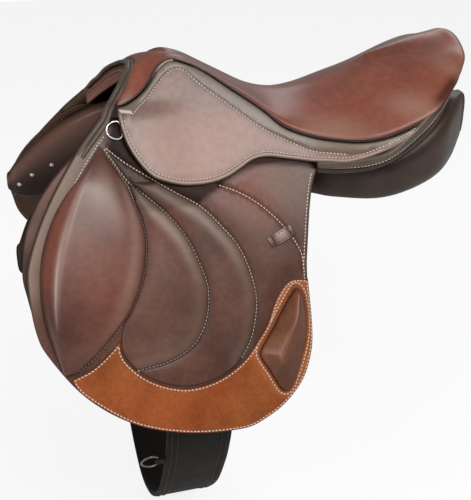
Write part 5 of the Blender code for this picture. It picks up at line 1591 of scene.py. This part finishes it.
def make_girth(size):
    """The girth with its stitched edges, and the four straps that it is buckled to."""
    path = girth_line()
    way = np.gradient(path, axis=0)
    out = np.stack([np.zeros(len(way)), way[:, 2], -way[:, 1]], 1)
    out *= np.where((out * (path - (GIRTH_X, 0, -0.15))).sum(1) > 0, 1, -1)[:, None]
    out = unit(out)
    points, faces = swept(path, out, soft_box(GIRTH_WIDTH, GIRTH_THICK, 0.0028, 4))
    girth = piece_from("girth_band", points, faces, LOOKS["black_web"])
    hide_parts("girth")
    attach(girth, "girth")
    rows = []
    for edge in (-1, 1):
        for shift in (0.0060, 0.0130):
            line = path + (edge * (GIRTH_WIDTH / 2 - shift), 0, 0) + out * GIRTH_THICK / 2
            rows.append(stitches(spaced(line, 0.003), spaced(out, count=len(spaced(line, 0.003))), size))
    points, faces = gathered(rows)
    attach(piece_from("girth_thread", points, faces, LOOKS["welt"]), "girth")
    share = girth_share()
    for side in (LEFT, RIGHT):
        for label, shift in (("front", -0.5), ("rear", 0.5)):
            x = GIRTH_X + shift * 0.042
            half, tip, top, low = 0.0125, 0.010, 0.004, -0.150
            outline = np.array([(x - half, top), (x - half, low + tip), (x - half * 0.5, low),
                                (x + half * 0.5, low), (x + half, low + tip), (x + half, top)])
            outline = counter_clockwise(spaced(outline, 0.003, closed=True))
            flat, body = filled(outline, 0.0045)
            base = -FLAP_THICK - ROOM_LOW + GIRTH_GAP + GIRTH_THICK / share + 0.0005

            def over(p, outline=outline, base=base):
                drop = rounding(nearest(p, outline, True)[0], 0.0016, 0.0012)
                return on_side(p, base + STRAP_THICK, -drop, side)

            name = "girth_strap_%s_%s" % (label, SIDE_NAME[side])
            strap = side_piece(name.replace("strap", "billet"), side, flat, body, layer(base, side), over,
                               LOOKS["panel"])
            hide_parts(name)
            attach(strap, "girth")


# Carried-over solids, stage and camera

NODE_LOOKS = (
    ("stirrup_bar", "dark_steel"), ("stirrup_catch", "steel"), ("front_dee", "steel"),
    ("girth_buckle", "steel"), ("girth_dee_chape", "black_web"), ("girth_dee", "dark_steel"),
    ("dee_loop", "welt"), ("head_arch", "dark_steel"), ("seat_foam", "foam"), ("seat_web", "webbing"),
    ("tree", "wood"))
ROUND_FITTINGS = ("front_dee", "girth_buckle", "girth_dee")


def make_fittings():
    """Finishes for the solids that stay: fittings, tree, foam and webbing."""
    for name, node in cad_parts.items():
        if node.hide_render:
            continue
        for start, look in NODE_LOOKS:
            if name.startswith(start):
                for place in node.material_slots:
                    place.link = "OBJECT"
                    place.material = LOOKS[look]
                break
        if name.startswith(ROUND_FITTINGS) and "chape" not in name:
            node.modifiers.new("welded", "WELD").merge_threshold = 0.00002
            round_off = node.modifiers.new("rounded", "SUBSURF")
            round_off.levels = round_off.render_levels = 1


FLOOR_GAP = 0.006
FLOOR_REACH = 5.0
FLOOR_COUNT = 24
FLOOR_GLOW = 0.86
LIGHT_TARGET = (-0.06, 0.0, -0.05)
CAMERA_PLACE = (-0.3643, -1.0496, 0.3276)
CAMERA_AHEAD = (0.2508, 0.8747, -0.4147)
CAMERA_RIGHT = (0.9613, -0.2756, 0.0)
CAMERA_LENS = 61.71


def area_light(name, place, wide, high, power):
    """A rectangular light that points at the saddle."""
    lamp = bpy.data.lights.new(name, "AREA")
    lamp.shape = "RECTANGLE"
    lamp.size, lamp.size_y = wide, high
    lamp.energy = power
    made = bpy.data.objects.new(name, lamp)
    bpy.context.collection.objects.link(made)
    made.location = place
    made.rotation_euler = (Vector(LIGHT_TARGET) - Vector(place)).to_track_quat("-Z", "Y").to_euler()


def make_stage(light):
    """A plain pale floor, soft studio light, a white surround and the camera."""
    scene = bpy.context.scene
    world = bpy.data.worlds.new("studio")
    scene.world = world
    world.use_nodes = True
    sky = Nodes(world.node_tree)
    sky.tree.nodes.clear()
    seen = sky.node("ShaderNodeLightPath", output="Is Camera Ray").math(
        "MAXIMUM", sky.node("ShaderNodeLightPath", output="Is Transmission Ray"))
    soft, white = (sky.node("ShaderNodeBackground", {}, {"Color": colour, "Strength": strength})
                   for colour, strength in (((1.0, 0.99, 0.975), light.world_light), ((1.0, 1.0, 1.0), 1.0)))
    chosen = sky.node("ShaderNodeMixShader", {}, {0: seen, 1: soft, 2: white})
    sky.put(sky.tree.nodes.new("ShaderNodeOutputWorld").inputs[0], chosen)
    low = CAD_BOX[0][2] - FLOOR_GAP
    line = np.linspace(-FLOOR_REACH, FLOOR_REACH, FLOOR_COUNT)
    mesh = bpy.data.meshes.new("studio_floor")
    mesh.from_pydata([(x, y, low) for y in line for x in line], [], between_rows(FLOOR_COUNT, FLOOR_COUNT))
    floor = bpy.data.objects.new("studio_floor", mesh)
    bpy.context.collection.objects.link(floor)
    look = Look("studio_paper", Roughness=0.9, Specular_IOR_Level=0.1)
    paper = look.noise(3.0, 3.0, 0.5)
    look.set(Base_Color=look.mix(paper * 0.15, (0.95, 0.95, 0.95), (0.92, 0.92, 0.92)))
    glow = look.node("ShaderNodeEmission", {}, {"Color": (1.0, 1.0, 1.0), "Strength": 1.0})
    blend = look.node("ShaderNodeMixShader", {}, {0: look.node("ShaderNodeLightPath") * FLOOR_GLOW,
                                                  1: Value(look, look.shader.outputs[0]), 2: glow})
    look.put(look.tree.nodes["Material Output"].inputs[0], blend)
    mesh.materials.append(look.material)
    area_light("key_softbox", (0.35, -1.65, 1.85), 1.5, 1.1, light.key_power)
    area_light("front_fill", (-1.85, -1.45, 1.10), 0.9, 0.9, light.fill_power)
    area_light("back_strip", (1.2, 1.7, 1.2), 1.6, 0.7, light.back_power)
    camera = bpy.data.cameras.new("photo_camera")
    camera.lens = CAMERA_LENS
    camera.sensor_width = 36.0
    camera.sensor_fit = "AUTO"
    camera.clip_start = 0.02
    made = bpy.data.objects.new("photo_camera", camera)
    bpy.context.collection.objects.link(made)
    ahead = Vector(CAMERA_AHEAD).normalized()
    right = Vector(CAMERA_RIGHT).normalized()
    turn = Matrix((right, right.cross(ahead), -ahead)).transposed().to_4x4()
    made.matrix_world = Matrix.Translation(CAMERA_PLACE) @ turn
    scene.camera = made
    scene.view_settings.view_transform = "Standard"


# Settings, operators and panel

def number_property(name, description, default, least, unit="LENGTH"):
    return bpy.props.FloatProperty(name=name, description=description, default=default, min=least, unit=unit)


def colour_property(name, description, default):
    return bpy.props.FloatVectorProperty(name=name, description=description, default=default, size=3, min=0.0,
                                         max=1.0, subtype="COLOR")


class SaddleSizes(bpy.types.PropertyGroup):
    stitch_pitch: number_property("Stitch pitch", "Distance from one stitch to the next", 0.0042, 0.001)
    stitch_length: number_property(
        "Stitch length", "Length of thread that shows at each stitch", 0.0030, 0.001)
    thread_radius: number_property("Thread radius", "Half the thickness of the waxed thread", 0.00074, 0.0001)
    welt_radius: number_property("Welt radius", "Half the thickness of the seat's welt", 0.0012, 0.0005)
    knee_pad_height: number_property(
        "Knee pad height", "How far the knee pad stands off the flap", 0.0240, 0.005)
    crescent_height: number_property(
        "Crescent height", "How far the padded crescents stand off the flap", 0.0048, 0.001)
    calf_block_height: number_property("Calf block height", "Height of the rear block's ridge", 0.0200, 0.005)
    seat_smoothing: bpy.props.IntProperty(
        name="Seat smoothing", description="How often the seat's surface is faired", default=6, min=0)


class SaddleColours(bpy.types.PropertyGroup):
    seat: colour_property("Seat", "Leather of the seat", (0.185, 0.058, 0.038))
    skirt: colour_property("Skirt", "Leather of the skirts", (0.215, 0.128, 0.102))
    flap: colour_property("Flap", "Leather of the flaps and crescents", (0.094, 0.041, 0.028))
    pad: colour_property("Pads", "Leather of the knee pads and keepers", (0.135, 0.054, 0.037))
    patch: colour_property("Wear patch", "Grained leather of the wear patches", (0.285, 0.082, 0.026))
    panel: colour_property("Panels", "Leather of the panels and straps", (0.036, 0.020, 0.014))
    binding: colour_property("Binding", "Leather of the sewn bands and welts", (0.075, 0.056, 0.042))
    thread: colour_property("Thread", "Waxed thread", (0.72, 0.64, 0.54))


class SaddleLight(bpy.types.PropertyGroup):
    world_light: number_property("Surround", "Strength of the soft light from all round", 0.30, 0.0, "NONE")
    key_power: number_property("Key light", "Power of the softbox above the near side", 44.0, 0.0, "POWER")
    fill_power: number_property("Fill light", "Power of the light before the pommel", 20.0, 0.0, "POWER")
    back_power: number_property("Back light", "Power of the light behind the cantle", 8.0, 0.0, "POWER")


class SADDLE_OT_finishes(bpy.types.Operator):
    """Makes the leathers, thread, webbing, metal, wood and foam"""
    bl_idname = "saddle.finishes"
    bl_label = "Finishes"

    def execute(self, context):
        make_looks(context.scene.saddle_colours)
        return {"FINISHED"}


class SADDLE_OT_seat(bpy.types.Operator):
    """Makes the seat's cover and its welt"""
    bl_idname = "saddle.seat"
    bl_label = "Seat"

    def execute(self, context):
        make_seat(context.scene.saddle_sizes)
        return {"FINISHED"}


class SADDLE_OT_pommel(bpy.types.Operator):
    """Makes the double welt and lining of the pommel"""
    bl_idname = "saddle.pommel"
    bl_label = "Pommel"

    def execute(self, context):
        make_pommel()
        return {"FINISHED"}


class SADDLE_OT_cantle(bpy.types.Operator):
    """Makes the rolled bands under the cantle"""
    bl_idname = "saddle.cantle"
    bl_label = "Cantle bands"

    def execute(self, context):
        make_cantle(context.scene.saddle_sizes)
        return {"FINISHED"}


def side_operator(idname, label, words, makers):
    """An operator that makes a group of like pieces on both sides."""
    def execute(self, context):
        for side in (LEFT, RIGHT):
            for maker in makers:
                maker(side, context.scene.saddle_sizes)
        return {"FINISHED"}
    return type("SADDLE_OT_" + idname, (bpy.types.Operator,), {
        "__doc__": words, "bl_idname": "saddle." + idname, "bl_label": label, "execute": execute})


SIDE_OPERATORS = (
    side_operator("skirts", "Skirts", "Makes the skirts over the stirrup bars", (make_skirt,)),
    side_operator("flaps", "Flaps", "Makes the flaps with their bound edges and stitched arcs", (make_flap,)),
    side_operator("padding", "Knee pads and crescents", "Makes the pads on the flaps", (make_padding,)),
    side_operator("patches", "Patches, blocks and keepers", "Makes the wear patches, calf blocks and keepers",
                  (make_patch,)),
    side_operator("panels", "Panels and sweat flaps", "Makes the flocked panels and sweat flaps",
                  (make_panel, make_sweat_flap)),
)


class SADDLE_OT_girth(bpy.types.Operator):
    """Makes the girth and its straps"""
    bl_idname = "saddle.girth"
    bl_label = "Girth"

    def execute(self, context):
        make_girth(context.scene.saddle_sizes)
        return {"FINISHED"}


class SADDLE_OT_fittings(bpy.types.Operator):
    """Gives the fittings, tree, foam and webbing their finishes"""
    bl_idname = "saddle.fittings"
    bl_label = "Fittings"

    def execute(self, context):
        make_fittings()
        return {"FINISHED"}


class SADDLE_OT_stage(bpy.types.Operator):
    """Makes the floor, the light and the camera"""
    bl_idname = "saddle.stage"
    bl_label = "Stage"

    def execute(self, context):
        make_stage(context.scene.saddle_light)
        return {"FINISHED"}


OPERATORS = (SADDLE_OT_finishes, SADDLE_OT_seat, SADDLE_OT_pommel, SADDLE_OT_cantle, *SIDE_OPERATORS,
             SADDLE_OT_girth, SADDLE_OT_fittings, SADDLE_OT_stage)


class SADDLE_PT_build(bpy.types.Panel):
    """The saddle's pieces and settings"""
    bl_idname = "SADDLE_PT_build"
    bl_label = "All-purpose saddle"
    bl_space_type = "VIEW_3D"
    bl_region_type = "UI"
    bl_category = "Saddle"

    def draw(self, context):
        for made in OPERATORS:
            self.layout.operator(made.bl_idname)
        for group in (context.scene.saddle_sizes, context.scene.saddle_colours, context.scene.saddle_light):
            for name in group.bl_rna.properties.keys():
                if name not in ("rna_type", "name"):
                    self.layout.prop(group, name)


CLASSES = (SaddleSizes, SaddleColours, SaddleLight, *OPERATORS, SADDLE_PT_build)


def register():
    for made in CLASSES:
        bpy.utils.register_class(made)
    bpy.types.Scene.saddle_sizes = bpy.props.PointerProperty(type=SaddleSizes)
    bpy.types.Scene.saddle_colours = bpy.props.PointerProperty(type=SaddleColours)
    bpy.types.Scene.saddle_light = bpy.props.PointerProperty(type=SaddleLight)


def unregister():
    for name in ("saddle_sizes", "saddle_colours", "saddle_light"):
        delattr(bpy.types.Scene, name)
    for made in reversed(CLASSES):
        bpy.utils.unregister_class(made)


def main():
    register()
    for made in OPERATORS:
        group, name = made.bl_idname.split(".")
        getattr(getattr(bpy.ops, group), name)()


if __name__ == "__main__":
    main()
